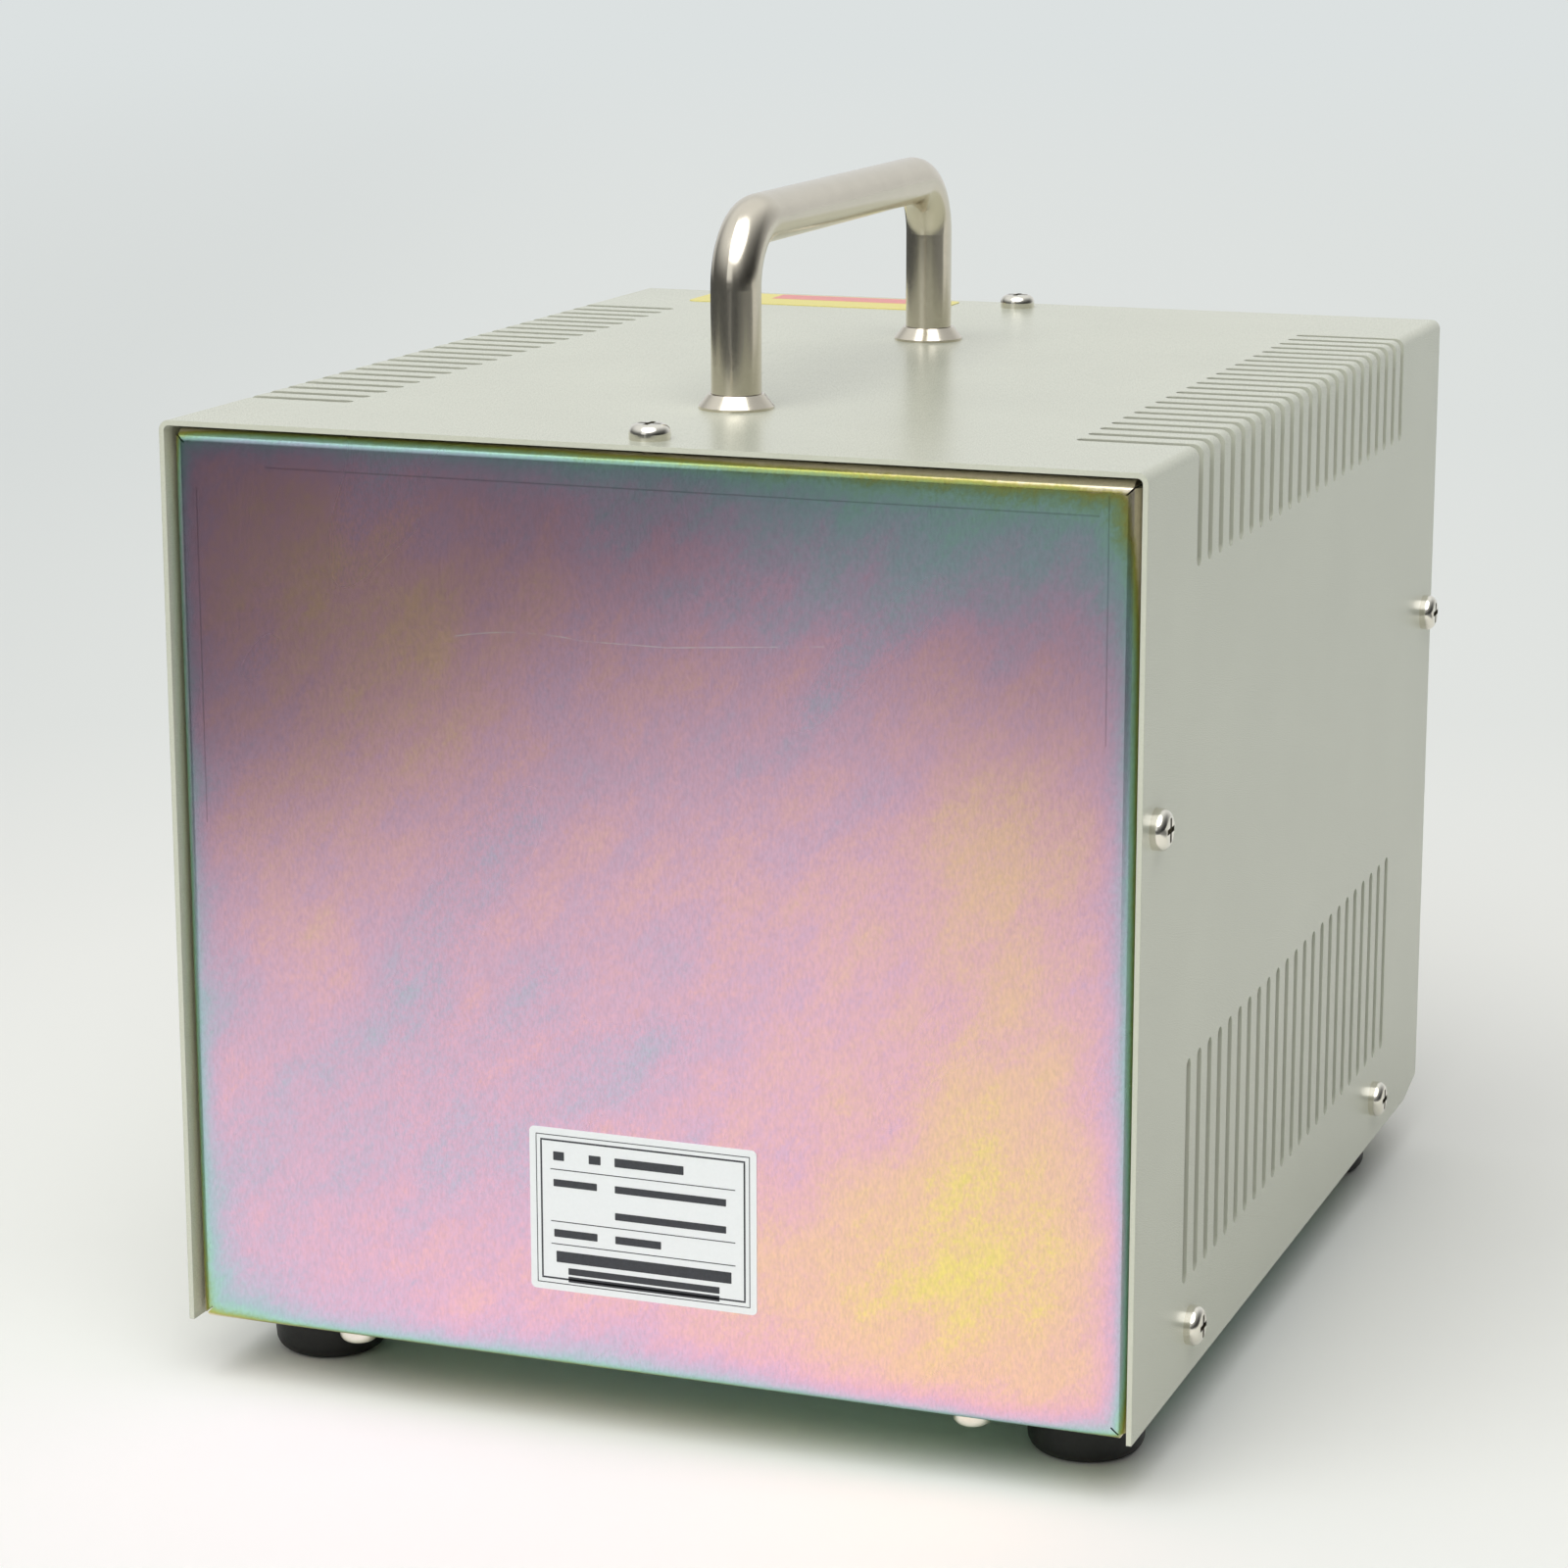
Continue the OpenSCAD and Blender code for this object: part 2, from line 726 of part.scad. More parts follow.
// One slot that runs from the top of the cover round the bend and down the side
module wrapped_slot() {
    slot_r = slot_w / 2;
    reach = case_w / 2 + cut;
    top_in = case_w / 2 - slot_top_l + slot_r;
    side_in = case_top - slot_side_l + slot_r;
    translate([0, 0, case_top - cover_t - cut]) linear_extrude(cover_t + 2 * cut) {
        translate([top_in, -slot_r]) square([reach - top_in, slot_w]);
        translate([top_in, 0]) circle(slot_r);
    }
    translate([case_w / 2 - cover_t - cut, 0, 0]) rotate([90, 0, 90])
        linear_extrude(cover_t + 2 * cut) {
            translate([-slot_r, side_in]) square([slot_w, case_top + cut - side_in]);
            translate([0, side_in]) circle(slot_r);
        }
}

// One slot in the lower part of the side
module low_slot() {
    slot_r = slot_w / 2;
    z0 = case_z + low_slot_z + slot_r;
    z1 = case_z + low_slot_z + low_slot_l - slot_r;
    translate([case_w / 2 - cover_t - cut, 0, 0]) rotate([90, 0, 90])
        linear_extrude(cover_t + 2 * cut) {
            translate([-slot_r, z0]) square([slot_w, z1 - z0]);
            translate([0, z0]) circle(slot_r);
            translate([0, z1]) circle(slot_r);
        }
}

module corner_clip() {
    translate([0, front_y, case_z]) rotate([90, 0, 90])
        linear_extrude(case_w + 2 * cut, center = true)
            polygon([
                [-cut, -cut], [corner_clip_d, -cut], [corner_clip_d, 0],
                [0, corner_clip_h], [-cut, corner_clip_h]
            ]);
}

module cover() {
    slot_mid_y = (rear_y + front_y) / 2 + slot_shift;
    color([0.78, 0.79, 0.74])
    difference() {
        translate([0, rear_y, case_z]) rotate([90, 0, 0]) linear_extrude(case_d)
            channel(case_w, case_h, cover_t, cover_bend_r);
        for (side = [0, 1], i = [0 : slot_count - 1]) {
            mirror([side, 0, 0])
                translate([0, slot_mid_y + (i - (slot_count - 1) / 2) * slot_pitch, 0]) {
                    wrapped_slot();
                    low_slot();
                }
        }
        at_sides(concat(flange_places(), lip_places()))
            cylinder(d = screw_d + 2 * hole_clear, h = 2 * (cover_t + cut), center = true);
        at_top_screws() cylinder(d = screw_d + 2 * hole_clear, h = 2 * (cover_t + cut), center = true);
        at_handle_legs()
            cylinder(d = handle_screw_d + 2 * hole_clear, h = 2 * (cover_t + cut), center = true);
        corner_clip();
    }
}

module rear_panel() {
    color([0.85, 0.68, 0.72])
    translate([0, rear_face_y, case_z + panel_h / 2])
        difference() {
            pan();
            pan_holes(rear_screw_depth);
        }
}

module front_panel() {
    color([0.80, 0.81, 0.76])
    difference() {
        translate([0, front_face_y, case_z + panel_h / 2]) mirror([0, 1, 0])
            difference() {
                pan();
                pan_holes(front_screw_depth);
            }
        on_front(inlet_at, inlet_z) {
            slab(inlet_recess_w + 2 * (inlet_wall + side_gap), inlet_recess_h + 2 * (inlet_wall + side_gap),
                -cut, panel_t + cut, corner_r);
            at_inlet_screws() barrel(small_d + 2 * hole_clear, -cut, panel_t + cut);
        }
        for (z = outlet_zs) {
            on_front(outlet_at, z) {
                slab(outlet_w + 2 * side_gap, outlet_h + 2 * side_gap, -cut, panel_t + cut, corner_r);
                at_outlet_screws() barrel(small_d + 2 * hole_clear, -cut, panel_t + cut);
            }
        }
        on_front(switch_at, switch_z)
            slab(switch_w + 2 * side_gap, switch_h + 2 * side_gap, -cut, panel_t + cut,
                small_corner_r);
        on_front(reset_at, reset_z) barrel(bush_d + 2 * hole_clear, -cut, panel_t + cut);
        on_front(lamp_x, lamp_z) barrel(lamp_barrel_d + 2 * hole_clear, -cut, panel_t + cut);
    }
}

// Floor under the transformer, with its sides turned up between the panels' flanges
module base_plate() {
    color([0.80, 0.74, 0.50])
    difference() {
        union() {
            translate([0, base_mid_y + lip_l / 2, base_under + base_lip_h]) rotate([90, 0, 0])
                linear_extrude(lip_l) mirror([0, 1]) channel(panel_w, base_lip_h, base_t, panel_bend_r);
            translate([-floor_w / 2, base_mid_y - base_l / 2, base_under])
                cube([floor_w, base_l, base_t]);
        }
        at_sides(lip_places()) translate([0, 0, -panel_gap - cover_t - base_t - cut])
            cylinder(d = screw_d + 2 * hole_clear, h = base_t + panel_gap + 2 * cut);
        at_base_screws() translate([0, 0, -panel_t - base_t - cut])
            cylinder(d = screw_d + 2 * hole_clear, h = base_t + panel_t + 2 * cut);
        at_feet() translate([0, 0, base_under - cut])
            cylinder(d = screw_d + 2 * hole_clear, h = base_t + 2 * cut);
        at_mounting_bolts() translate([0, 0, base_under - cut])
            cylinder(d = core_bolt_d + 2 * hole_clear, h = base_t + 2 * cut);
        at_block_screws() translate([0, 0, base_under - cut])
            cylinder(d = small_d + 2 * seat_fit, h = base_t + 2 * cut);
        translate([stud_at, stud_y, base_under - cut])
            cylinder(d = screw_d + 2 * seat_fit, h = base_t + 2 * cut);
    }
}

module handle_bend() {
    translate([0, 0, handle_leg]) rotate([90, 0, 90])
        translate([-handle_bend_r, 0, 0])
            rotate_extrude(angle = 90) translate([handle_bend_r, 0]) circle(rod_r);
}

module carry_handle() {
    bar_l = handle_pitch - 2 * handle_bend_r;
    color([0.80, 0.78, 0.74])
    difference() {
        union() {
            at_handle_legs() cylinder(r = rod_r, h = handle_leg);
            translate([0, handle_y + handle_pitch / 2, case_top]) handle_bend();
            translate([0, handle_y - handle_pitch / 2, case_top]) mirror([0, 1, 0]) handle_bend();
            translate([0, handle_y + bar_l / 2, case_top + handle_leg + handle_bend_r])
                rotate([90, 0, 0]) cylinder(r = rod_r, h = bar_l);
        }
        at_handle_legs() translate([0, 0, -cut])
            cylinder(d = handle_screw_d + 2 * seat_fit, h = handle_tap_depth + cut);
    }
}

// Flared collars that cover the foot of each handle leg
module handle_ferrules() {
    flare = ferrule_d / 2 - rod_r - seat_fit - ferrule_rim;
    color([0.82, 0.80, 0.76])
    at_handle_legs() rotate_extrude()
        translate([rod_r + seat_fit, 0]) polygon([
            [0, 0], [flare + ferrule_rim, 0], [flare + ferrule_rim, ferrule_rim],
            [ferrule_rim, ferrule_h], [0, ferrule_h]
        ]);
}

module handle_screws() {
    color([0.7, 0.7, 0.7])
    at_handle_legs() translate([0, 0, -cover_t - washer_t]) rotate([180, 0, 0])
        pan_screw(handle_screw_d, handle_head_d, head_h,
            handle_tap_depth - thread_out + cover_t + washer_t, cross_w, cross_l, cross_depth);
}

module handle_washers() {
    color([0.72, 0.72, 0.70])
    at_handle_legs() translate([0, 0, -cover_t - washer_t])
        washer(handle_washer_d, handle_screw_d + 2 * hole_clear, washer_t);
}

module cover_top_screws() {
    color([0.80, 0.79, 0.76]) at_top_screws() case_screw();
}

module cover_side_screws() {
    color([0.80, 0.79, 0.76]) at_sides(concat(flange_places(), lip_places())) case_screw();
}

module base_screws() {
    color([0.80, 0.79, 0.76]) at_base_screws() case_screw();
}

module flange_nut() {
    difference() {
        cylinder(d = flange_nut_d, h = flange_nut_h);
        translate([0, 0, -cut]) cylinder(d = screw_d + 2 * seat_fit, h = flange_nut_h + 2 * cut);
    }
}

// Nuts pressed onto the inner faces of the flanges and of the base plate
module flange_nuts() {
    color([0.75, 0.75, 0.72]) {
        at_top_screws() translate([0, 0, -cover_t - panel_gap - panel_t - flange_nut_h]) flange_nut();
        at_sides(flange_places()) translate([0, 0, -cover_t - panel_gap - panel_t - flange_nut_h])
            flange_nut();
        at_sides(lip_places()) translate([0, 0, -cover_t - panel_gap - base_t - flange_nut_h])
            flange_nut();
        at_base_screws() translate([0, 0, -panel_t - base_t - flange_nut_h]) flange_nut();
    }
}

module rubber_feet() {
    foot_r = foot_d / 2;
    bottom_r = foot_r - foot_edge_taper;
    color([0.07, 0.07, 0.07])
    at_feet() rotate_extrude()
        difference() {
            union() {
                polygon([
                    [0, foot_edge_r], [bottom_r, foot_edge_r], [foot_r, base_under], [0, base_under]
                ]);
                square([bottom_r - foot_edge_r, foot_edge_r + seat_fit]);
                translate([bottom_r - foot_edge_r, foot_edge_r]) circle(foot_edge_r);
            }
            translate([-foot_r, -foot_r]) square([foot_r, 2 * foot_r + base_under]);
            translate([0, -cut]) square([foot_recess_d / 2, base_under - foot_web + cut]);
            square([screw_d / 2 + hole_clear, base_under + cut]);
        }
}

module foot_screws() {
    color([0.72, 0.72, 0.72])
    at_feet() translate([0, 0, base_under - foot_web]) rotate([180, 0, 0])
        pan_screw(screw_d, head_d, head_h, foot_screw_l, cross_w, cross_l, cross_depth);
}

module foot_washers() {
    color([0.72, 0.72, 0.70])
    at_feet() translate([0, 0, base_top]) washer(washer_d, screw_d + 2 * hole_clear, washer_t);
}

module foot_nuts() {
    color([0.70, 0.70, 0.68])
    at_feet() translate([0, 0, base_top + washer_t]) nut(screw_d, hex_af, hex_h);
}

// Bolt holes through the lamination stack
module core_holes() {
    for (x = bolt_xs, z = bolt_zs) {
        translate([x, core_rear_y + cut, z]) rotate([90, 0, 0])
            cylinder(d = core_bolt_d + 2 * core_bolt_clear, h = stack_d + 2 * cut);
    }
}

module core_e_laminations() {
    color([0.30, 0.31, 0.33])
    difference() {
        translate([-core_w / 2, core_front_y, core_z]) cube([core_w, stack_d, core_h - yoke_h]);
        for (side = [-1, 1]) {
            translate([side * (tongue_w + leg_w) / 2 - leg_w / 2, core_front_y - cut, core_z + yoke_h])
                cube([leg_w, stack_d + 2 * cut, core_h]);
        }
        core_holes();
    }
}

module core_i_laminations() {
    color([0.33, 0.34, 0.36])
    difference() {
        translate([-core_w / 2, core_front_y, core_z + core_h - yoke_h])
            cube([core_w, stack_d, yoke_h]);
        core_holes();
    }
}

module bobbin() {
    color([0.20, 0.20, 0.22])
    translate([0, core_y, bobbin_z])
        difference() {
            union() {
                linear_extrude(bobbin_h) square([tube_w, tube_d], center = true);
                for (z = [0, bobbin_h - bobbin_t]) {
                    translate([0, 0, z]) linear_extrude(bobbin_t)
                        square([tube_w + 2 * cheek, tube_d + 2 * cheek], center = true);
                }
            }
            translate([0, 0, -cut]) linear_extrude(bobbin_h + 2 * cut)
                square([tube_w - 2 * bobbin_t, tube_d - 2 * bobbin_t], center = true);
        }
}

// Ring round the bobbin's tube, from one distance off the tube to another
module coil_layer(inner, outer) {
    translate([0, core_y, coil_z]) linear_extrude(coil_h)
        difference() {
            rounded(tube_w + 2 * outer, tube_d + 2 * outer, coil_corner_r);
            square([tube_w + 2 * inner, tube_d + 2 * inner], center = true);
        }
}

// Outer layers follow the round corners of what they lie on
module round_layer(inner, outer) {
    translate([0, core_y, coil_z]) linear_extrude(coil_h)
        difference() {
            rounded(tube_w + 2 * outer, tube_d + 2 * outer, coil_corner_r + outer - common_out);
            rounded(tube_w + 2 * inner, tube_d + 2 * inner, coil_corner_r + inner - common_out);
        }
}

module common_winding() {
    color([0.72, 0.38, 0.20]) coil_layer(common_in, common_out);
}

module layer_insulation() {
    color([0.90, 0.85, 0.62]) round_layer(insulation_in, insulation_out);
}

module series_winding() {
    color([0.76, 0.42, 0.22]) round_layer(series_in, series_out);
}

module outer_wrap() {
    color([0.86, 0.80, 0.45]) round_layer(wrap_in, wrap_out);
}

module thermal_cutout() {
    color([0.15, 0.15, 0.16])
    translate([0, cutout_y - layer_gap, cutout_z]) {
        barrel(cutout_d, -cutout_h, 0);
        for (side = [-1, 1]) {
            translate([side * cutout_d / 4 - tab_t, -cutout_h - tab_l / 2, -tab_w / 4])
                cube([2 * tab_t, tab_l / 2 + tab_t, tab_w / 2]);
        }
    }
}

module at_mounting_bolts() {
    for (sx = [-1, 1], sy = [-1, 1]) {
        translate([sx * mount_bolt_x, core_y + sy * mount_bolt_y, 0]) children();
    }
}

// Two L brackets that clamp the foot of the stack and stand on the base plate
module core_brackets() {
    color([0.78, 0.72, 0.48])
    for (side = [0, 1]) {
        translate([0, core_y, core_z]) mirror([0, side, 0])
            difference() {
                union() {
                    translate([-core_w / 2, stack_d / 2, 0]) cube([core_w, bracket_t, bracket_h]);
                    translate([-core_w / 2, stack_d / 2, 0]) cube([core_w, bracket_d, bracket_t]);
                }
                for (x = bolt_xs) {
                    translate([x, stack_d / 2 + bracket_t + cut, core_bolt_inset]) rotate([90, 0, 0])
                        cylinder(d = core_bolt_d + 2 * core_bolt_clear, h = bracket_t + 2 * cut);
                }
                for (sx = [-1, 1]) {
                    translate([sx * mount_bolt_x, mount_bolt_y, -cut])
                        cylinder(d = core_bolt_d + 2 * hole_clear, h = bracket_t + 2 * cut);
                }
            }
    }
}

// Thickness of what lies between the stack and a washer at a bolt of this row
function pad_at(row) = row == 0 ? bracket_t : 0;

module core_bolts() {
    color([0.70, 0.69, 0.60])
    for (x = bolt_xs, row = [0, 1]) {
        translate([x, core_rear_y + pad_at(row) + washer_t, bolt_zs[row]]) rotate([-90, 0, 0]) {
            hexagon(hex_af, hex_h);
            translate([0, 0, -core_bolt_l]) cylinder(d = core_bolt_d, h = core_bolt_l);
        }
    }
}

module core_washers() {
    color([0.74, 0.74, 0.70])
    for (x = bolt_xs, row = [0, 1]) {
        translate([x, core_rear_y + pad_at(row), bolt_zs[row]]) rotate([-90, 0, 0])
            washer(washer_d, core_bolt_d + 2 * hole_clear, washer_t);
        translate([x, core_front_y - pad_at(row), bolt_zs[row]]) rotate([90, 0, 0])
            washer(washer_d, core_bolt_d + 2 * hole_clear, washer_t);
    }
}

module core_nuts() {
    color([0.72, 0.71, 0.62])
    for (x = bolt_xs, row = [0, 1]) {
        translate([x, core_front_y - pad_at(row) - washer_t, bolt_zs[row]]) rotate([90, 0, 0])
            nut(core_bolt_d, hex_af, hex_h);
    }
}

// Bolts up through the base plate and the bracket feet
module mounting_bolts() {
    color([0.70, 0.69, 0.60])
    at_mounting_bolts() translate([0, 0, base_under]) rotate([180, 0, 0]) {
        hexagon(hex_af, hex_h);
        translate([0, 0, -mount_bolt_l]) cylinder(d = core_bolt_d, h = mount_bolt_l);
    }
}

module mounting_nuts() {
    color([0.72, 0.71, 0.62])
    at_mounting_bolts() translate([0, 0, core_z + bracket_t]) nut(core_bolt_d, hex_af, hex_h);
}

module at_inlet_screws() {
    for (side = [-1, 1]) {
        translate([side * inlet_screw_pitch / 2, 0, 0]) children();
    }
}

module at_outlet_screws() {
    for (side = [-1, 1]) {
        translate([0, 0, side * outlet_screw_pitch / 2]) children();
    }
}

// Places of the inlet's blades: earth above, line and neutral below
function blade_places() = [
    [0, blade_rise / 2], [-blade_pitch / 2, -blade_rise / 2], [blade_pitch / 2, -blade_rise / 2]
];

module inlet_body() {
    back = inlet_recess_d + inlet_wall;
    color([0.10, 0.10, 0.11])
    on_front(inlet_at, inlet_z)
        difference() {
            union() {
                slab(inlet_flange_w, inlet_flange_h, -inlet_flange_t, 0, corner_r);
                slab(inlet_recess_w + 2 * inlet_wall, inlet_recess_h + 2 * inlet_wall,
                    -inlet_flange_t, back, corner_r);
            }
            slab(inlet_recess_w, inlet_recess_h, -inlet_flange_t - cut, inlet_recess_d, corner_r);
            for (p = blade_places()) {
                translate([p[0], 0, p[1]])
                    slab(blade_w + 2 * seat_fit, blade_t + 2 * seat_fit, inlet_recess_d - cut,
                        back + cut, 2 * seat_fit);
            }
            at_inlet_screws() barrel(small_d + 2 * hole_clear, -inlet_flange_t - cut, cut);
        }
}

module inlet_blades() {
    color([0.80, 0.78, 0.70])
    on_front(inlet_at, inlet_z)
        for (p = blade_places()) {
            translate([p[0] - blade_w / 2, inlet_recess_d - blade_l, p[1] - blade_t / 2])
                cube([blade_w, blade_l + inlet_wall + inlet_tab_l, blade_t]);
        }
}

// Opening of one contact, given as its place and size: line, neutral, earth
function socket_places() = [
    [socket_pitch / 2, slot_rise, line_slot_h],
    [-socket_pitch / 2, slot_rise, neutral_slot_h],
    [0, slot_rise - earth_rise, earth_hole_d]
];

module outlet_bodies() {
    face = outlet_flange_t + outlet_boss;
    color([0.93, 0.92, 0.88])
    for (z = outlet_zs) {
        on_front(outlet_at, z)
            difference() {
                union() {
                    slab(outlet_flange_w, outlet_flange_h, -outlet_flange_t, 0, corner_r);
                    slab(outlet_w - 2 * outlet_boss, outlet_h - outlet_boss, -face, 0, 2 * corner_r);
                    slab(outlet_w, outlet_h, -outlet_flange_t, outlet_d, corner_r);
                }
                for (i = [0, 1]) {
                    p = socket_places()[i];
                    translate([p[0] - socket_slot_w / 2, -face - cut, p[1] - p[2] / 2])
                        cube([socket_slot_w, face + contact_depth + 2 * cut, p[2]]);
                }
                translate([0, 0, slot_rise - earth_rise])
                    barrel(earth_hole_d, -face - cut, contact_depth + cut);
                for (p = socket_places()) {
                    translate([p[0], 0, p[1]]) {
                        slab(contact_w + 2 * contact_room, neutral_slot_h + 2 * contact_room,
                            contact_depth, contact_depth + leaf_l + 2 * contact_room, contact_room);
                        slab(leaf_t + 2 * seat_fit, tab_w + 2 * seat_fit, contact_depth,
                            outlet_d + cut, leaf_t / 4);
                    }
                }
                at_outlet_screws() barrel(small_d + 2 * hole_clear, -outlet_flange_t - cut, cut);
            }
    }
}

// Forked contacts: two leaves joined at the back, with a tab out of the body
module outlet_contacts() {
    color([0.80, 0.62, 0.30])
    for (z = outlet_zs) {
        on_front(outlet_at, z)
            for (p = socket_places()) {
                translate([p[0], contact_depth + contact_room, p[1] - neutral_slot_h / 2]) {
                    translate([-contact_w / 2, 0, 0]) cube([leaf_t, leaf_l, neutral_slot_h]);
                    translate([contact_w / 2 - leaf_t, 0, 0]) cube([leaf_t, leaf_l, neutral_slot_h]);
                    translate([-contact_w / 2, leaf_l - leaf_t, 0])
                        cube([contact_w, leaf_t, neutral_slot_h]);
                    translate([-leaf_t / 2, leaf_l - leaf_t, (neutral_slot_h - tab_w) / 2])
                        cube([leaf_t, outlet_d - leaf_l - contact_depth + outlet_tab_l, tab_w]);
                }
            }
    }
}

// Every screw that holds the inlet and the outlets, with its axis out of the panel
module at_fixings() {
    on_front(inlet_at, inlet_z) at_inlet_screws() translate([0, -inlet_flange_t, 0])
        rotate([90, 0, 0]) children();
    for (z = outlet_zs) {
        on_front(outlet_at, z) at_outlet_screws() translate([0, -outlet_flange_t, 0])
            rotate([90, 0, 0]) children();
    }
}

module fixing_screws() {
    color([0.80, 0.79, 0.76]) at_fixings() small_screw(small_l);
}

module fixing_nuts() {
    color([0.74, 0.73, 0.70]) {
        on_front(inlet_at, inlet_z) at_inlet_screws() translate([0, panel_t, 0])
            rotate([-90, 0, 0]) nut(small_d, small_nut_af, small_nut_h);
        for (z = outlet_zs) {
            on_front(outlet_at, z) at_outlet_screws() translate([0, panel_t, 0])
                rotate([-90, 0, 0]) nut(small_d, small_nut_af, small_nut_h);
        }
    }
}

// Places of the four tabs behind the switch
function switch_tab_places() = [
    for (sx = [-1, 1], sz = [-1, 1]) [sx * switch_w / 4, sz * switch_h / 4]
];

module tab_slot(back) {
    slab(tab_w + 2 * seat_fit, tab_t + 2 * seat_fit, back - tab_root, back + cut, tab_t / 4);
}

module tab(back) {
    translate([-tab_w / 2, back - tab_root + seat_fit, -tab_t / 2])
        cube([tab_w, tab_root + tab_l, tab_t]);
}

module switch_housing() {
    color([0.09, 0.09, 0.10])
    on_front(switch_at, switch_z)
        difference() {
            union() {
                slab(bezel_w, bezel_h, -bezel_t, 0, corner_r);
                slab(switch_w, switch_h, -bezel_t, switch_d, small_corner_r);
            }
            translate([-rocker_w / 2 - rocker_clear, -bezel_t - cut, -cavity_h / 2])
                cube([rocker_w + 2 * rocker_clear, bezel_t + cut + cavity_d, cavity_h]);
            translate([0, pivot_depth, 0]) rotate([0, 90, 0])
                cylinder(d = pivot_d + 2 * running_fit,
                    h = rocker_w + 2 * (pivot_l + rocker_clear / 2), center = true);
            for (p = switch_tab_places()) {
                translate([p[0], 0, p[1]]) tab_slot(switch_d);
            }
        }
}

// Rocker in its off position, tilted about its pivot pins
module switch_rocker() {
    rise = rocker_r * tan(rocker_half);
    color([0.75, 0.10, 0.08])
    on_front(switch_at, switch_z)
        translate([0, pivot_depth, 0]) rotate([-rocker_half, 0, 0]) {
            rotate([90, 0, 90]) linear_extrude(rocker_w, center = true)
                intersection() {
                    circle(rocker_r);
                    polygon([
                        [-rocker_face, 0], [-rocker_face - rise, rocker_r],
                        [-rocker_face - rise, rocker_r + cut], [rocker_back, rocker_r + cut],
                        [rocker_back, -rocker_r - cut], [-rocker_face - rise, -rocker_r - cut],
                        [-rocker_face - rise, -rocker_r]
                    ]);
                }
            rotate([0, 90, 0]) cylinder(d = pivot_d, h = rocker_w + 2 * pivot_l, center = true);
        }
}

module switch_tabs() {
    color([0.80, 0.62, 0.30])
    on_front(switch_at, switch_z)
        for (p = switch_tab_places()) {
            translate([p[0], 0, p[1]]) tab(switch_d);
        }
}

module protector_body() {
    back = panel_t + protector_d;
    color([0.12, 0.12, 0.13])
    on_front(reset_at, reset_z)
        difference() {
            union() {
                slab(protector_w, protector_h, panel_t, back, small_corner_r);
                barrel(bush_d, -bush_out, panel_t + collar_wall);
            }
            barrel(button_d + 2 * running_fit, -bush_out - cut, panel_t + cut);
            barrel(collar_d + 2 * collar_room, collar_rest - button_travel - collar_room,
                collar_rest + collar_t + collar_room);
            barrel(button_d + 2 * running_fit, panel_t, collar_rest);
            for (side = [-1, 1]) {
                translate([0, 0, side * protector_h / 4]) tab_slot(back);
            }
        }
}

// Button pressed in, which is its working position
module reset_button() {
    chamfer = button_d / 8;
    color([0.92, 0.92, 0.90])
    on_front(reset_at, reset_z) {
        barrel(button_d, chamfer - bush_out - button_out, collar_rest + collar_t);
        translate([0, chamfer - bush_out - button_out, 0]) rotate([90, 0, 0])
            cylinder(d1 = button_d, d2 = button_d - 2 * chamfer, h = chamfer);
        barrel(collar_d, collar_rest, collar_rest + collar_t);
    }
}

module protector_nut() {
    color([0.78, 0.77, 0.74])
    on_front(reset_at, reset_z)
        difference() {
            hex_barrel(bush_nut_af, -bush_nut_t, 0);
            barrel(bush_d + 2 * seat_fit, -bush_nut_t - cut, cut);
        }
}

module protector_tabs() {
    color([0.80, 0.62, 0.30])
    on_front(reset_at, reset_z)
        for (side = [-1, 1]) {
            translate([0, 0, side * protector_h / 4]) tab(panel_t + protector_d);
        }
}

module lamp_body() {
    color([0.75, 0.75, 0.74])
    on_front(lamp_x, lamp_z)
        difference() {
            union() {
                barrel(lamp_bezel_d, -lamp_bezel_t, 0);
                barrel(lamp_barrel_d, -lamp_bezel_t, lamp_d);
            }
            barrel(lens_d + 2 * lens_fit, -lamp_bezel_t - cut, lens_seat);
            barrel(bulb_d + 2 * bulb_room, 0, bulb_seat);
            for (side = [-1, 1]) {
                translate([side * lamp_barrel_d / 4, 0, 0])
                    slab(tab_t + 2 * seat_fit, tab_t + 2 * seat_fit, bulb_seat - cut, lamp_d + cut,
                        tab_t / 4);
            }
        }
}

// Domed lens that rests on the step inside the lamp
module lamp_lens() {
    dome_r = (lens_d * lens_d / 4 + lens_out * lens_out) / (2 * lens_out);
    color([0.85, 0.12, 0.08])
    on_front(lamp_x, lamp_z)
        difference() {
            union() {
                barrel(lens_d, -lamp_bezel_t, lens_seat);
                intersection() {
                    barrel(lens_d, -lamp_bezel_t - lens_out, -lamp_bezel_t);
                    translate([0, dome_r - lamp_bezel_t - lens_out, 0]) sphere(dome_r);
                }
            }
            barrel(bulb_d + 2 * bulb_room, 0, lens_seat + cut);
        }
}

module lamp_bulb() {
    color([0.95, 0.80, 0.65])
    on_front(lamp_x, lamp_z) {
        barrel(bulb_d, bulb_seat - bulb_l, bulb_seat);
        translate([0, bulb_seat - bulb_l, 0]) sphere(bulb_d / 2);
    }
}

module lamp_nut() {
    color([0.75, 0.74, 0.70])
    on_front(lamp_x, lamp_z)
        difference() {
            hex_barrel(lamp_bezel_d, panel_t, panel_t + bush_nut_t);
            barrel(lamp_barrel_d + 2 * seat_fit, panel_t - cut, panel_t + bush_nut_t + cut);
        }
}

module lamp_tabs() {
    color([0.78, 0.76, 0.70])
    on_front(lamp_x, lamp_z)
        for (side = [-1, 1]) {
            translate([side * lamp_barrel_d / 4 - tab_t / 2, bulb_seat + seat_fit, -tab_t / 2])
                cube([tab_t, lamp_wall + tab_l, tab_t]);
        }
}

module at_ways() {
    for (i = [0 : block_ways - 1]) {
        translate([way_x(i), block_y, base_top]) children();
    }
}

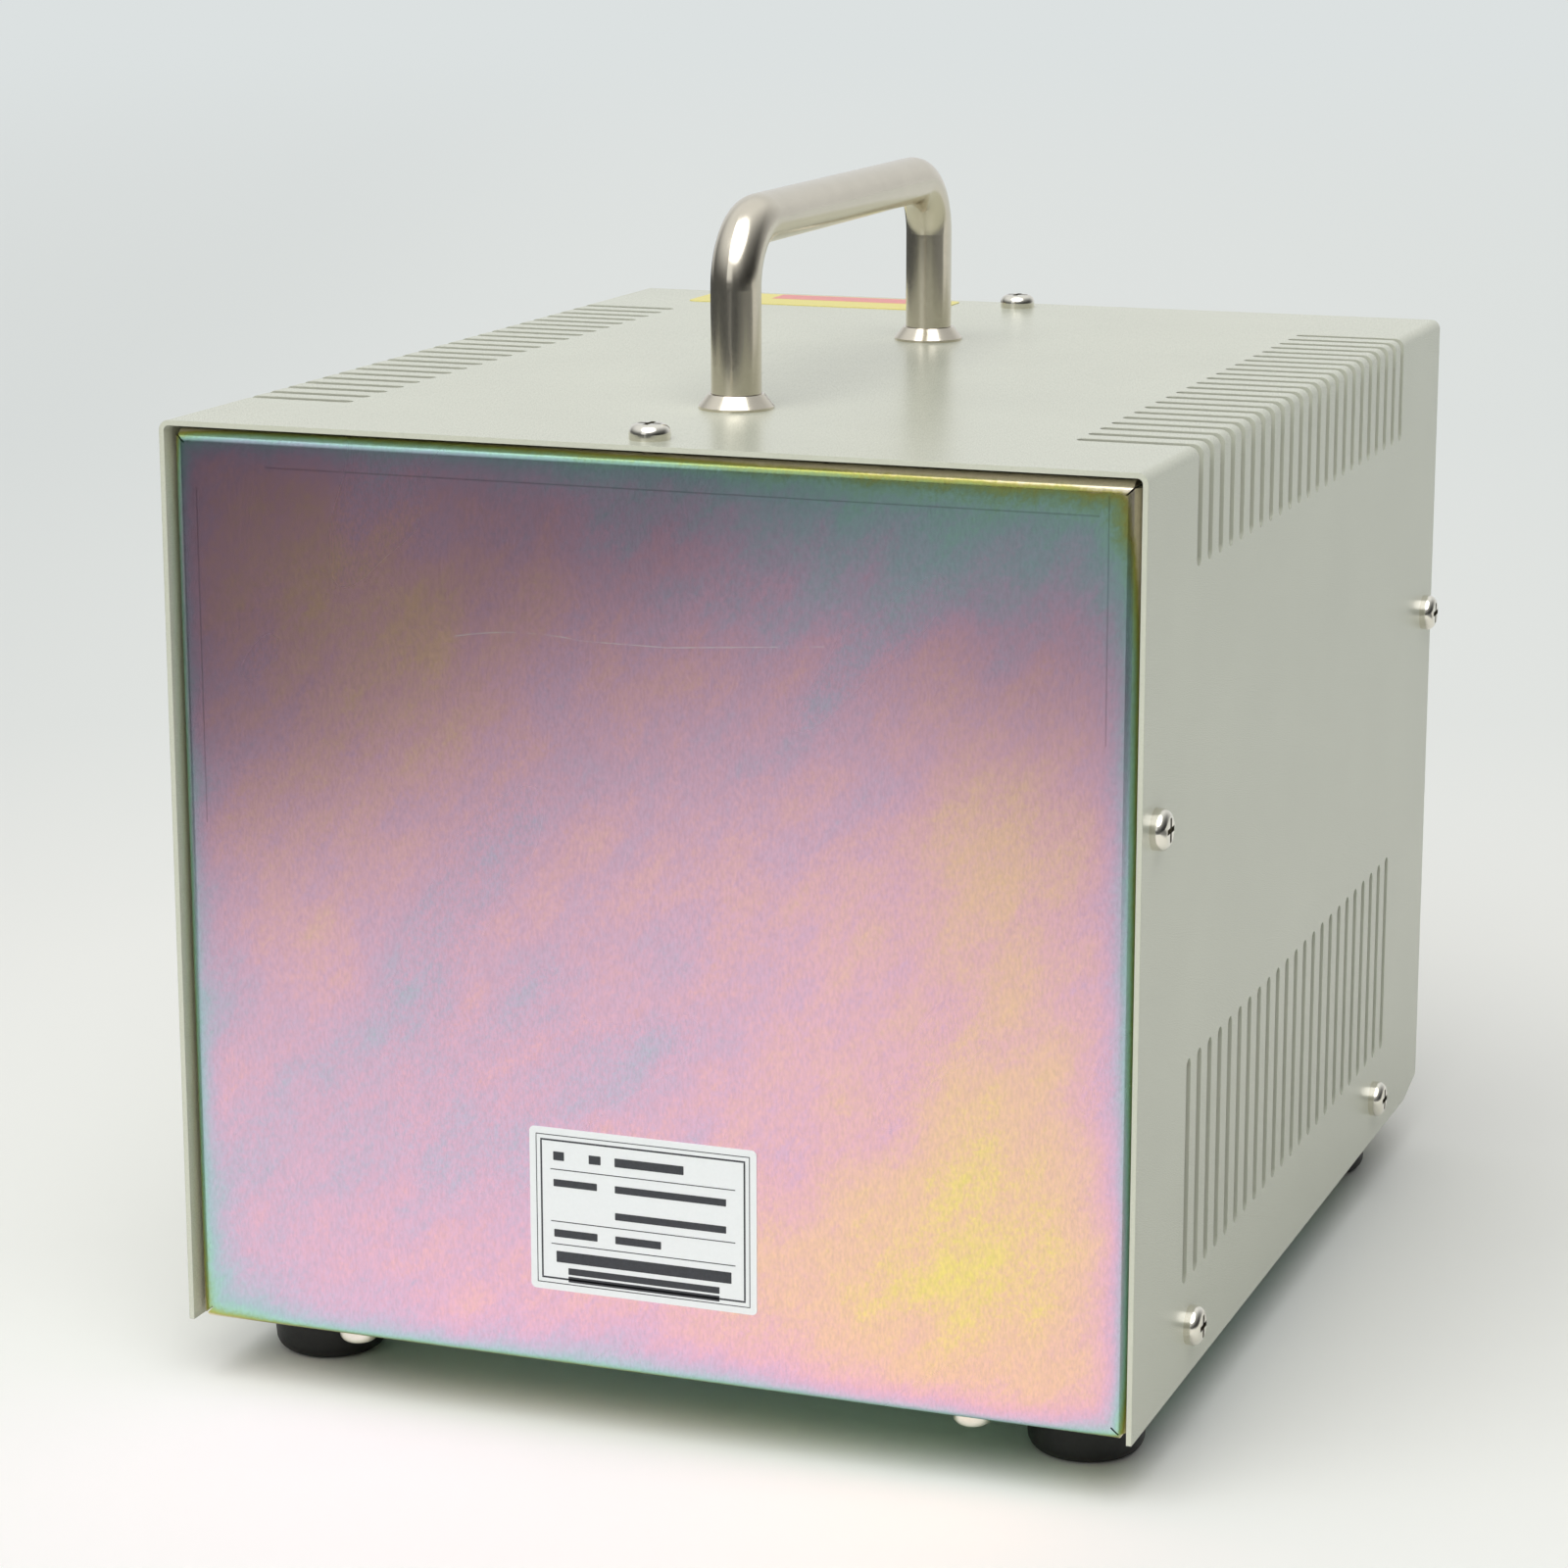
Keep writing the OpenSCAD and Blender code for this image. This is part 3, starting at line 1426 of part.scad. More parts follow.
module at_block_screws() {
    for (side = [-1, 1]) {
        translate([side * (block_l + block_ear) / 2, block_y, 0]) children();
    }
}

module terminal_block() {
    color([0.11, 0.11, 0.12])
    difference() {
        union() {
            translate([-block_l / 2, block_y - block_d / 2, base_top]) cube([block_l, block_d, block_h]);
            translate([-block_l / 2 - block_ear, block_y - block_ear / 2, base_top])
                cube([block_l + 2 * block_ear, block_ear, block_ear_t]);
            for (i = [0 : block_ways]) {
                translate([(i - block_ways / 2) * way_pitch - barrier_t / 2, block_y - block_d / 2,
                    base_top + block_h])
                    cube([barrier_t, block_d, barrier_h]);
            }
        }
        at_ways() for (side = [-1, 1]) {
            translate([0, side * block_d / 4, block_h - small_l])
                cylinder(d = small_d + 2 * seat_fit, h = small_l + cut);
        }
        at_block_screws() translate([0, 0, base_top - cut])
            cylinder(d = small_d + 2 * hole_clear, h = block_ear_t + 2 * cut);
    }
}

module terminal_screws() {
    color([0.80, 0.70, 0.45])
    at_ways() for (side = [-1, 1]) {
        translate([0, side * block_d / 4, block_h])
            small_screw(small_l - thread_out);
    }
}

module block_fixing_screws() {
    color([0.75, 0.75, 0.73])
    at_block_screws() translate([0, 0, base_top + block_ear_t])
        small_screw(block_ear_t + base_t + thread_out);
}

module earth_stud() {
    color([0.80, 0.65, 0.32])
    translate([stud_at, stud_y, base_under]) {
        cylinder(d = screw_d, h = stud_l);
        translate([0, 0, base_t]) cylinder(d = washer_d, h = washer_t);
    }
}

module earth_nut() {
    color([0.78, 0.62, 0.30])
    translate([stud_at, stud_y, base_top + washer_t]) nut(screw_d, hex_af, hex_h);
}

// Straight piece of a lead from point a to point b
module lead_run(a, b) {
    v = b - a;
    l = norm(v);
    translate(a) rotate([0, acos(v[2] / l), atan2(v[1], v[0])]) cylinder(r = lead_r, h = l);
}

// Insulated lead through a list of points, with round corners
module lead(points) {
    for (i = [0 : len(points) - 2]) {
        lead_run(points[i], points[i + 1]);
    }
    for (i = [1 : len(points) - 2]) {
        translate(points[i]) sphere(lead_r);
    }
}

// Lead's last two points where it enters a way of the terminal block from the front
function into_block(i) = [
    [way_x(i), lane(1), level(1)], [way_x(i), block_y - block_d / 2 - lead_gap, level(1)]
];

// Taps of the windings, down into the rear of the terminal block
module winding_leads() {
    start_y = cutout_y - lead_gap;
    down_y = cheek_front_y - 2 * lead_d;
    start_z = coil_z + 2 * lead_d;
    color([0.75, 0.70, 0.15])
    for (i = [1 : 3]) {
        lead([
            [way_x(i), start_y, start_z], [way_x(i), down_y, start_z],
            [way_x(i), down_y, level(1)], [way_x(i), block_y + block_d / 2 + lead_gap, level(1)]
        ]);
    }
}

// From the inlet through switch and protector to the block, and from the block to the lamp
module input_leads() {
    pole = [-switch_w / 4, switch_w / 4];
    low_z = case_z + switch_z - switch_h / 4;
    high_z = case_z + switch_z + switch_h / 4;
    trip_z = [case_z + reset_z - protector_h / 4, case_z + reset_z + protector_h / 4];
    lamp_side = lamp_barrel_d / 4;
    lamp_top = case_z + lamp_z + 2 * lane_pitch;
    blade_z = case_z + inlet_z - blade_rise / 2;
    color([0.10, 0.10, 0.10]) {
        for (i = [0, 1]) {
            blade_x = inlet_at + (i - 1 / 2) * blade_pitch;
            lead([
                [blade_x, inlet_back_y + lead_gap, blade_z], [blade_x, lane(1), blade_z],
                [switch_at + pole[i], lane(1), low_z], [switch_at + pole[i], switch_back_y + lead_gap, low_z]
            ]);
        }
        lead([
            [switch_at + pole[0], switch_back_y + lead_gap, high_z],
            [switch_at + pole[0], lane(2), high_z], [switch_at + pole[0], lane(2), trip_z[1]],
            [reset_at, lane(2), trip_z[1]], [reset_at, protector_back_y + lead_gap, trip_z[1]]
        ]);
        lead(concat([
            [reset_at, protector_back_y + lead_gap, trip_z[0]], [reset_at, lane(2), trip_z[0]],
            [way_x(1), lane(2), trip_z[0]], [way_x(1), lane(1), trip_z[0]]
        ], into_block(1)));
        lead(concat([
            [switch_at + pole[1], switch_back_y + lead_gap, high_z],
            [switch_at + pole[1], lane(3), high_z], [way_x(2), lane(3), high_z],
            [way_x(2), lane(1), high_z]
        ], into_block(2)));
        lead(concat([
            [lamp_x - lamp_side, lamp_back_y + lead_gap, case_z + lamp_z],
            [lamp_x - lamp_side, lane(2), case_z + lamp_z], [lamp_x - lamp_side, lane(2), lamp_top],
            [way_x(4), lane(2), lamp_top], [way_x(4), lane(2), case_z + reset_z],
            [way_x(4), lane(1), case_z + reset_z]
        ], into_block(4)));
        lead(concat([
            [lamp_x + lamp_side, lamp_back_y + lead_gap, case_z + lamp_z],
            [lamp_x + lamp_side, lane(1), case_z + lamp_z], [way_x(5), lane(1), case_z + lamp_z]
        ], into_block(5)));
    }
}

// From the block to the lower outlet, and from that one to the upper outlet
module output_leads() {
    tab_z = [for (z = outlet_zs) case_z + z + slot_rise];
    side_x = [outlet_at + socket_pitch / 2, outlet_at - socket_pitch / 2];
    tab_face = leaf_t / 2 + lead_gap;
    swing = 3 * lead_d;
    color([0.85, 0.85, 0.83]) {
        lead([
            [way_x(3), block_y - block_d / 2 - lead_gap, level(1)], [way_x(3), lane(0), level(1)],
            [side_x[0], lane(0), level(1)], [side_x[0], lane(1), level(1)],
            [side_x[0], lane(1), tab_z[0]], [side_x[0], outlet_back_y + lead_gap, tab_z[0]]
        ]);
        lead([
            [way_x(0), block_y - block_d / 2 - lead_gap, level(1)], [way_x(0), lane(-1), level(1)],
            [way_x(0), lane(-1), level(2)], [side_x[1], lane(-1), level(2)],
            [side_x[1], lane(1), level(2)], [side_x[1], lane(1), tab_z[0]],
            [side_x[1], outlet_back_y + lead_gap, tab_z[0]]
        ]);
        for (i = [0, 1]) {
            out = i == 0 ? 1 : -1;
            lead([
                [side_x[i] + out * tab_face, lane(0), tab_z[0]],
                [side_x[i] + out * swing, lane(0), tab_z[0]],
                [side_x[i] + out * swing, lane(0), tab_z[1]],
                [side_x[i] + out * tab_face, lane(0), tab_z[1]]
            ]);
        }
    }
}

// From the inlet to the stud, from the stud to the lower outlet, and on to the upper one
module earth_leads() {
    earth_z = [for (z = outlet_zs) case_z + z + slot_rise - earth_rise];
    blade_z = case_z + inlet_z + blade_rise / 2;
    nut_side = hex_af / cos(180 / hex_sides) / 2 + lead_gap;
    tab_face = leaf_t / 2 + lead_gap;
    color([0.15, 0.50, 0.20]) {
        lead([
            [inlet_at, inlet_back_y + lead_gap, blade_z], [inlet_at, stud_y, blade_z],
            [stud_at, stud_y, blade_z], [stud_at, stud_y, stud_top_z + lead_gap]
        ]);
        lead([
            [nut_side + stud_at, stud_y, level(0)], [nut_side + lane_pitch + stud_at, stud_y, level(0)],
            [nut_side + lane_pitch + stud_at, lane(-2), level(0)], [outlet_at, lane(-2), level(0)],
            [outlet_at, lane(2), level(0)], [outlet_at, lane(2), earth_z[0]],
            [outlet_at, outlet_back_y + lead_gap, earth_z[0]]
        ]);
        lead([
            [outlet_at + tab_face, lane(0), earth_z[0]], [outlet_at + lead_d, lane(0), earth_z[0]],
            [outlet_at + lead_d, lane(0), earth_z[1]], [outlet_at + tab_face, lane(0), earth_z[1]]
        ]);
    }
}

module rating_label() {
    color([0.95, 0.96, 0.96])
    translate([0, rear_face_y + label_t, case_z + label_z]) rotate([90, 0, 0])
        linear_extrude(label_t) rounded(label_w, label_h, label_r / 2);
}

module top_sticker() {
    color([0.95, 0.85, 0.30])
    translate([sticker_x, front_y + sticker_inset + sticker_w / 2, case_top])
        linear_extrude(label_t) rounded(sticker_l, sticker_w, label_r);
}

cover();
rear_panel();
front_panel();
base_plate();
carry_handle();
handle_ferrules();
handle_screws();
handle_washers();
cover_top_screws();
cover_side_screws();
base_screws();
flange_nuts();
rubber_feet();
foot_screws();
foot_washers();
foot_nuts();
core_e_laminations();
core_i_laminations();
bobbin();
common_winding();
layer_insulation();
series_winding();
outer_wrap();
thermal_cutout();
core_brackets();
core_bolts();
core_washers();
core_nuts();
mounting_bolts();
mounting_nuts();
inlet_body();
inlet_blades();
outlet_bodies();
outlet_contacts();
fixing_screws();
fixing_nuts();
switch_housing();
switch_rocker();
switch_tabs();
protector_body();
reset_button();
protector_nut();
protector_tabs();
lamp_body();
lamp_lens();
lamp_bulb();
lamp_nut();
lamp_tabs();
terminal_block();
terminal_screws();
block_fixing_screws();
earth_stud();
earth_nut();
winding_leads();
input_leads();
output_leads();
earth_leads();
rating_label();
top_sticker();
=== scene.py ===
import json
import math

import bmesh
import bpy
from mathutils import Matrix, Vector
from mathutils.bvhtree import BVHTree


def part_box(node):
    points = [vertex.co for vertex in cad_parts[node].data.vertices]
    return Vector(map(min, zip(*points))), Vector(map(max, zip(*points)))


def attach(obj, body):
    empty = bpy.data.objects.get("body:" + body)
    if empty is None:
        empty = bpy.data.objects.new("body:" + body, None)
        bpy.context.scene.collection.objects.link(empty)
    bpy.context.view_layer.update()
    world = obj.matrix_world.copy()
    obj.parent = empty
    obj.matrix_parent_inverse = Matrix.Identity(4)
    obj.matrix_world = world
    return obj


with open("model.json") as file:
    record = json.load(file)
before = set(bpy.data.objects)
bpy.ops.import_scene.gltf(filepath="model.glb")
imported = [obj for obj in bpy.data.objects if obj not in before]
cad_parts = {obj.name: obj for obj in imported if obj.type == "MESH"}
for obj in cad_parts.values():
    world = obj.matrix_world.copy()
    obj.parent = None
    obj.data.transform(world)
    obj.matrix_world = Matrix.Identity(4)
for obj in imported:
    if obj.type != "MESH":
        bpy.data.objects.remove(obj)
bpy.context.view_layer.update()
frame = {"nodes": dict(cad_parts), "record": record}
nodes = frame["nodes"]
scene = bpy.context.scene
scene.view_settings.view_transform = "Standard"


# ---------------------------------------------------------------- camera
# fitted to the corners of the case that the photo shows
CAM_PLACE = (-0.28815, 0.80999, 0.29889)
CAM_FORWARD = (0.34318, -0.91202, -0.22461)
CAM_RIGHT = (-0.93605, -0.35186, -0.00147)


def make_camera():
    data = bpy.data.cameras.new("photo_camera")
    data.sensor_fit = "HORIZONTAL"
    data.sensor_width = 36.0
    data.lens = 97.3
    data.clip_start = 0.01
    data.clip_end = 50.0
    camera = bpy.data.objects.new("photo_camera", data)
    scene.collection.objects.link(camera)
    forward = Vector(CAM_FORWARD).normalized()
    right = Vector(CAM_RIGHT)
    right = (right - forward * right.dot(forward)).normalized()
    basis = Matrix((right, right.cross(forward), -forward)).transposed()
    camera.matrix_world = Matrix.Translation(CAM_PLACE) @ basis.to_4x4()
    scene.camera = camera


make_camera()


# ---------------------------------------------------------------- node helpers
NEAR_E = 2.718
NOISE_LOW, NOISE_HIGH = 0.3, 0.7  # most of a noise texture lies between these


def srgb(r, g, b):
    """Linear colour from 0-255 sRGB numbers."""
    out = []
    for c in (r, g, b):
        c /= 255.0
        out.append(c / 12.92 if c <= 0.04045 else ((c + 0.055) / 1.055) ** 2.4)
    return (*out, 1.0)


def shifted(colour, k):
    """The same colour, k times as bright."""
    return (*[min(1.0, c * k) for c in colour[:3]], 1.0)


class Tree:
    """Small builder for a node tree."""

    def __init__(self, tree):
        self.tree = tree

    def add(self, kind, ins=None, **props):
        node = self.tree.nodes.new(kind)
        for key, value in props.items():
            setattr(node, key, value)
        for key, value in (ins or {}).items():
            self.put(node.inputs[key], value)
        return node

    def put(self, socket, value):
        if isinstance(value, bpy.types.NodeSocket):
            self.tree.links.new(value, socket)
        else:
            socket.default_value = value

    def math(self, op, a, b=0.0, c=0.0):
        return self.add("ShaderNodeMath", {0: a, 1: b, 2: c}, operation=op).outputs[0]

    def product(self, first, *rest):
        """All the values multiplied, from the left."""
        for value in rest:
            first = self.math("MULTIPLY", first, value)
        return first

    def minus(self, a, b):
        return self.math("SUBTRACT", a, b)

    def span(self, value, lo, hi, a=0.0, b=1.0, how="LINEAR"):
        """Goes from a to b while the value goes from lo to hi, and stays there beyond them."""
        return self.add("ShaderNodeMapRange", {"Value": value, "From Min": lo, "From Max": hi,
            "To Min": a, "To Max": b}, interpolation_type=how).outputs["Result"]

    def ease(self, value, lo, hi, a=0.0, b=1.0):
        """Span with a soft start and end."""
        return self.span(value, lo, hi, a, b, "SMOOTHSTEP")

    def blend(self, fac, first, second):
        """Mix of two shaders."""
        return self.add("ShaderNodeMixShader", {0: fac, 1: first, 2: second}).outputs[0]


class Shade(Tree):
    """Small builder for one material's node tree."""

    def __init__(self, name):
        self.mat = bpy.data.materials.new(name)
        self.mat.use_nodes = True
        super().__init__(self.mat.node_tree)
        self.bsdf = self.tree.nodes["Principled BSDF"]
        self.out = self.tree.nodes["Material Output"]

    def set(self, **ins):
        """Sockets of the main shader, with _ for each space in their names."""
        for key, value in ins.items():
            self.put(self.bsdf.inputs[key.replace("_", " ")], value)

    def pos(self):
        return self.add("ShaderNodeTexCoord").outputs["Object"]

    def axes(self, vector=None):
        return self.add("ShaderNodeSeparateXYZ", {"Vector": vector or self.pos()}).outputs

    def stretch(self, vector, sx, sy, sz, lean=None):
        """Coordinates scaled along the axes, or drawn out along axes that lean by some degrees about Y."""
        node = self.add("ShaderNodeMapping", {"Vector": vector}, vector_type="TEXTURE" if lean else "POINT")
        node.inputs["Scale"].default_value = (sx, sy, sz)
        node.inputs["Rotation"].default_value = (0.0, math.radians(lean or 0.0), 0.0)
        return node.outputs["Vector"]

    def noise(self, scale, detail=3.0, rough=0.55, vector=None):
        return self.add("ShaderNodeTexNoise", {"Vector": vector or self.pos(), "Scale": scale,
            "Detail": detail, "Roughness": rough}).outputs["Fac"]

    def specks(self, scale, radius):
        """Scattered round specks, 1 in their middles."""
        cells = self.add("ShaderNodeTexVoronoi", {"Vector": self.pos(), "Scale": scale})
        return self.span(cells.outputs["Distance"], 0.0, radius, 1.0, 0.0)

    def spread(self, field, a, b):
        """Goes from a to b over the usual range of a noise."""
        return self.span(field, NOISE_LOW, NOISE_HIGH, a, b)

    def ramp(self, fac, stops, how="LINEAR"):
        node = self.add("ShaderNodeValToRGB", {"Fac": fac})
        cr = node.color_ramp
        cr.interpolation = how
        while len(cr.elements) > 1:
            cr.elements.remove(cr.elements[-1])
        cr.elements[0].position, cr.elements[0].color = stops[0]
        for place, colour in stops[1:]:
            cr.elements.new(place).color = colour
        return node.outputs["Color"]

    def mix(self, fac, a, b, kind="MIX"):
        """Mix of two colours."""
        node = self.add("ShaderNodeMix", data_type="RGBA", blend_type=kind)
        for name, value in (("Factor", fac), ("A", a), ("B", b)):
            sockets = [s for s in node.inputs if s.name == name and s.enabled]
            self.put(sockets[0], value)
        return [s for s in node.outputs if s.enabled][0]

    def tint(self, field, colour, dark, light, lo=NOISE_LOW, hi=NOISE_HIGH):
        """The colour from dark to light times its brightness while the field goes from lo to hi."""
        return self.mix(self.span(field, lo, hi), shifted(colour, dark), shifted(colour, light))

    def bump(self, height, strength, distance, normal=None):
        ins = {"Height": height, "Strength": strength, "Distance": distance}
        if normal is not None:
            ins["Normal"] = normal
        return self.add("ShaderNodeBump", ins).outputs["Normal"]

    def soft(self, radius):
        """Normal that rounds hard edges by about this radius."""
        return self.add("ShaderNodeBevel", {"Radius": radius}, samples=6).outputs["Normal"]

    def fade(self, value, rate):
        """1 where the value is 0, and e times less for each 1 / rate beyond it."""
        return self.math("POWER", NEAR_E, self.product(value, -rate))

    def blob(self, xyz, x0, z0, rx, rz):
        """Soft spot in the XZ plane, 1 in its middle."""
        dx = self.math("DIVIDE", self.minus(xyz[0], x0), rx)
        dz = self.math("DIVIDE", self.minus(xyz[2], z0), rz)
        return self.fade(self.math("ADD", self.product(dx, dx), self.product(dz, dz)), 1.0)

    def stroke(self, off, core, rim, along, lo, hi):
        """Thin line: 1 where off is under core, 0 past rim, and kept between lo and hi along it."""
        inside = self.product(self.math("GREATER_THAN", along, lo), self.math("LESS_THAN", along, hi))
        return self.product(self.span(off, core, rim, 1.0, 0.0), inside)


# ---------------------------------------------------------------- materials
def paint(name, colour):
    """Stoved paint: faint cloudiness, orange peel and a few dust nibs."""
    rough, edge_radius = 0.27, 0.00022
    s = Shade(name)
    cloud = s.noise(38.0, 4.0)
    peel = s.noise(1500.0, 2.0, 0.5)
    fine = s.noise(5200.0, 2.0, 0.6)
    nibs = s.specks(240.0, 0.05)
    height = s.math("ADD", s.math("ADD", peel, s.product(fine, 0.35)), s.product(nibs, 0.5))
    s.set(Base_Color=s.tint(cloud, colour, 0.975, 1.02), IOR=1.5,
        Roughness=s.spread(fine, rough - 0.03, rough + 0.04),
        Normal=s.bump(height, 0.16, 0.00006, s.soft(edge_radius)))
    return s.mat


# colours of the passivate by the thickness of its film, which runs from 0 to FILM_END; the pale stops past
# 1.12 fall on the rear panel's folds, where they are the film's colour and also painted highlight that
# whitens the lamp's reflection
FILM_END = 1.25
FILM = [(place / FILM_END, srgb(*rgb)) for place, rgb in (
    (0.00, (252, 234, 142)), (0.14, (253, 217, 174)), (0.28, (250, 206, 194)), (0.42, (243, 196, 214)),
    (0.55, (224, 197, 223)), (0.66, (203, 205, 223)), (0.77, (184, 212, 218)), (0.87, (176, 220, 204)),
    (0.95, (170, 206, 164)), (1.03, (180, 198, 124)), (1.12, (196, 190, 112)), (1.20, (234, 224, 188)),
    (1.25, (246, 234, 210)))]
PLAIN_FILM = 0.88  # thickness on the base plate, before its drift
PANEL_FILM = 0.46  # and on the rear panel
# spots on the rear panel: x, z, radius along x, radius along z, thickness added in the middle
FILM_SPOTS = ((-0.070, 0.038, 0.030, 0.038, -0.35), (-0.069, 0.100, 0.021, 0.040, -0.17),
    (-0.026, 0.034, 0.028, 0.022, -0.14), (0.062, 0.160, 0.040, 0.023, -0.17),
    (0.084, 0.030, 0.024, 0.030, 0.07), (-0.056, 0.184, 0.055, 0.020, 0.31),
    (-0.088, 0.184, 0.022, 0.014, 0.06), (0.010, 0.172, 0.040, 0.018, 0.06),
    (0.070, 0.064, 0.028, 0.020, 0.04), (0.055, 0.118, 0.035, 0.022, -0.06))
# painted shade on the rear panel, darker towards its top: the same, with the share of the dark colour in the
# middle
SHADE_SPOTS = ((-0.082, 0.156, 0.040, 0.026, 0.24), (0.084, 0.144, 0.030, 0.022, 0.14),
    (-0.01, 0.188, 0.100, 0.024, 0.10))
# pieces of one long scratch: x from and to, z from and to, height of the bow between
SCRATCH = ((0.0362, 0.0107, 0.1513, 0.1521, 0.0011), (0.0107, -0.0057, 0.1521, 0.1520, 0.0),
    (-0.0057, -0.0358, 0.1520, 0.1542, 0.0))
# marks of the folding tool: axis that they cross and where, axis that they run along, from and to
TOOL_MARKS = ((2, 0.1804, 0, -0.086, 0.074), (0, 0.0884, 2, 0.112, 0.176), (0, -0.0877, 2, 0.140, 0.184))
# laid over its colour: painted shade and the dark tool marks, dark grain, pale specks, the bare metal of the
# scratch
SHADE_AND_MARK, GRAIN = (0.05, 0.05, 0.05, 1), (0.12, 0.12, 0.12, 1)
SPECK, BARE = (0.9, 0.9, 0.88, 1), (0.95, 0.95, 0.93, 1)


def panel_film(s, xyz, drift):
    """Film on the rear panel: broad spots, and bands of colour along the folds and in the corners, the
    narrowest of which takes the folds' curves to the pale end of the film as painted highlight.
    """
    low, high = [Vector(v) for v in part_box("rear_panel")]
    from_side = s.minus(high.x, s.math("ABSOLUTE", xyz[0]))
    from_end = s.math("MINIMUM", s.minus(xyz[2], low.z), s.minus(high.z, xyz[2]))
    rim = s.fade(s.math("MINIMUM", from_side, from_end), 300.0)
    corner = s.fade(s.math("ADD", from_side, from_end), 110.0)
    # the drift dies away towards the folds
    thick = s.math("MULTIPLY_ADD", drift, s.math("MULTIPLY_ADD", rim, -0.8, 1.0), PANEL_FILM)
    for *spot, k in FILM_SPOTS:
        thick = s.math("MULTIPLY_ADD", s.blob(xyz, *spot), k, thick)
    # the last band, on the folds' curves, is painted highlight: it brings them to the pale end of the film
    for band, k in ((rim, 0.44), (corner, 0.30), (s.math("POWER", rim, 3.5), 0.24)):
        thick = s.math("MULTIPLY_ADD", band, k, thick)
    return thick


def panel_lines(s, p, xyz, colour):
    """The pale scratch and the dark marks of the folding tool, over the rear panel's colour."""
    scratch = 0.0
    for x0, x1, z0, z1, bow in SCRATCH:
        u = s.span(xyz[0], x0, x1)
        line = s.math("MULTIPLY_ADD", u, z1 - z0, z0)
        arc = s.product(u, s.minus(1.0, u), 4.0 * bow)
        off = s.math("ABSOLUTE", s.minus(xyz[2], s.math("ADD", line, arc)))
        scratch = s.math("MAXIMUM", scratch, s.stroke(off, 0.00006, 0.00016, xyz[0], x1, x0))
    gaps = s.span(s.noise(160.0, 2.0, 0.6, s.stretch(p, 1.0, 1.0, 0.2)), 0.42, 0.56)
    colour = s.mix(s.product(scratch, gaps, 0.55), colour, BARE)
    marks = 0.0
    for axis, at, along, lo, hi in TOOL_MARKS:
        off = s.math("ABSOLUTE", s.minus(xyz[axis], at))
        marks = s.math("MAXIMUM", marks, s.stroke(off, 0.00008, 0.00020, xyz[along], lo, hi))
    return s.mix(s.product(marks, 0.28), colour, SHADE_AND_MARK)


def passivate(name, panel=False):
    """Iridescent zinc passivate: a film whose thickness, and so its colour, drifts over the sheet."""
    s = Shade(name)
    p = s.pos()
    xyz = s.axes(p)
    streaky = s.stretch(p, 1.0, 1.0, 1.9, -40)
    broad = s.noise(24.0, 2.0, 0.5, streaky)
    drift = 0.0
    for field, k in ((broad, 0.34), (s.noise(95.0, 3.0, 0.6, streaky), 0.34),
            (s.noise(330.0, 4.0, 0.7, s.stretch(p, 1.0, 1.0, 2.6, -43)), 0.27),
            (s.noise(1000.0, 3.0, 0.7, p), 0.28)):
        drift = s.math("MULTIPLY_ADD", s.minus(field, 0.5), k, drift)
    thick = panel_film(s, xyz, drift) if panel else s.math("ADD", drift, PLAIN_FILM)
    thick = s.math("MAXIMUM", s.math("MINIMUM", thick, FILM_END), 0.0)
    colour = s.ramp(s.product(thick, 1.0 / FILM_END), FILM, "CARDINAL")
    if panel:
        # painted shade: dark spots on the upper part of the rear panel
        for *spot, k in SHADE_SPOTS:
            colour = s.mix(s.product(s.blob(xyz, *spot), k), colour, SHADE_AND_MARK)
    grain = s.noise(2600.0, 3.0, 0.7, s.stretch(p, 1.0, 1.0, 0.35))
    colour = s.mix(s.span(grain, 0.38, 0.70, 0.0, 0.17), colour, GRAIN)
    colour = s.mix(s.product(s.specks(620.0, 0.06), 0.25), colour, SPECK)
    if panel:
        colour = panel_lines(s, p, xyz, colour)
    s.set(Base_Color=colour, Metallic=1.0, Roughness=s.span(broad, 0.1, 0.9, 0.23, 0.30))
    return s.mat


def plated(name, colour, rough, spread, grain, mottle):
    """Plated or bare metal with a fine uneven polish."""
    s = Shade(name)
    polish = s.noise(grain, 3.0, 0.7, s.stretch(s.pos(), 1.0, 0.25, 1.0))
    s.set(Base_Color=s.tint(s.noise(110.0, 4.0), colour, 1.0 - mottle, 1.0 + mottle), Metallic=1.0,
        Roughness=s.spread(polish, rough - spread, rough + spread))
    return s.mat


def moulded(name, colour, rough, grain, depth):
    """Moulded plastic or rubber with a spark-eroded grain."""
    edge_radius = 0.0005
    s = Shade(name)
    spark = s.noise(grain, 2.0, 0.6)
    s.set(Base_Color=s.tint(s.noise(60.0, 3.0), colour, 0.93, 1.06),
        Roughness=s.spread(spark, rough - 0.05, rough + 0.06),
        Normal=s.bump(spark, depth, 0.00004, s.soft(edge_radius)))
    return s.mat


def sheets(name, colour):
    """Varnished lamination stack: thin sheets one behind another along Y, rusty in places."""
    sheet_t = 0.0005
    s = Shade(name)
    p = s.pos()
    wave = s.math("SINE", s.product(s.axes(p)[1], 2.0 * math.pi / sheet_t))
    run = s.noise(900.0, 2.0, 0.5, s.stretch(p, 0.02, 1.0, 0.02))
    rust = s.noise(70.0, 4.0)
    steel = s.tint(run, colour, 0.7, 1.35, 0.35, 0.65)
    s.set(Base_Color=s.mix(s.span(rust, 0.55, 0.8, 0.0, 0.5), steel, srgb(96, 66, 40)), Metallic=0.8,
        Roughness=s.spread(rust, 0.35, 0.55), Normal=s.bump(wave, 0.3, 0.00006))
    return s.mat


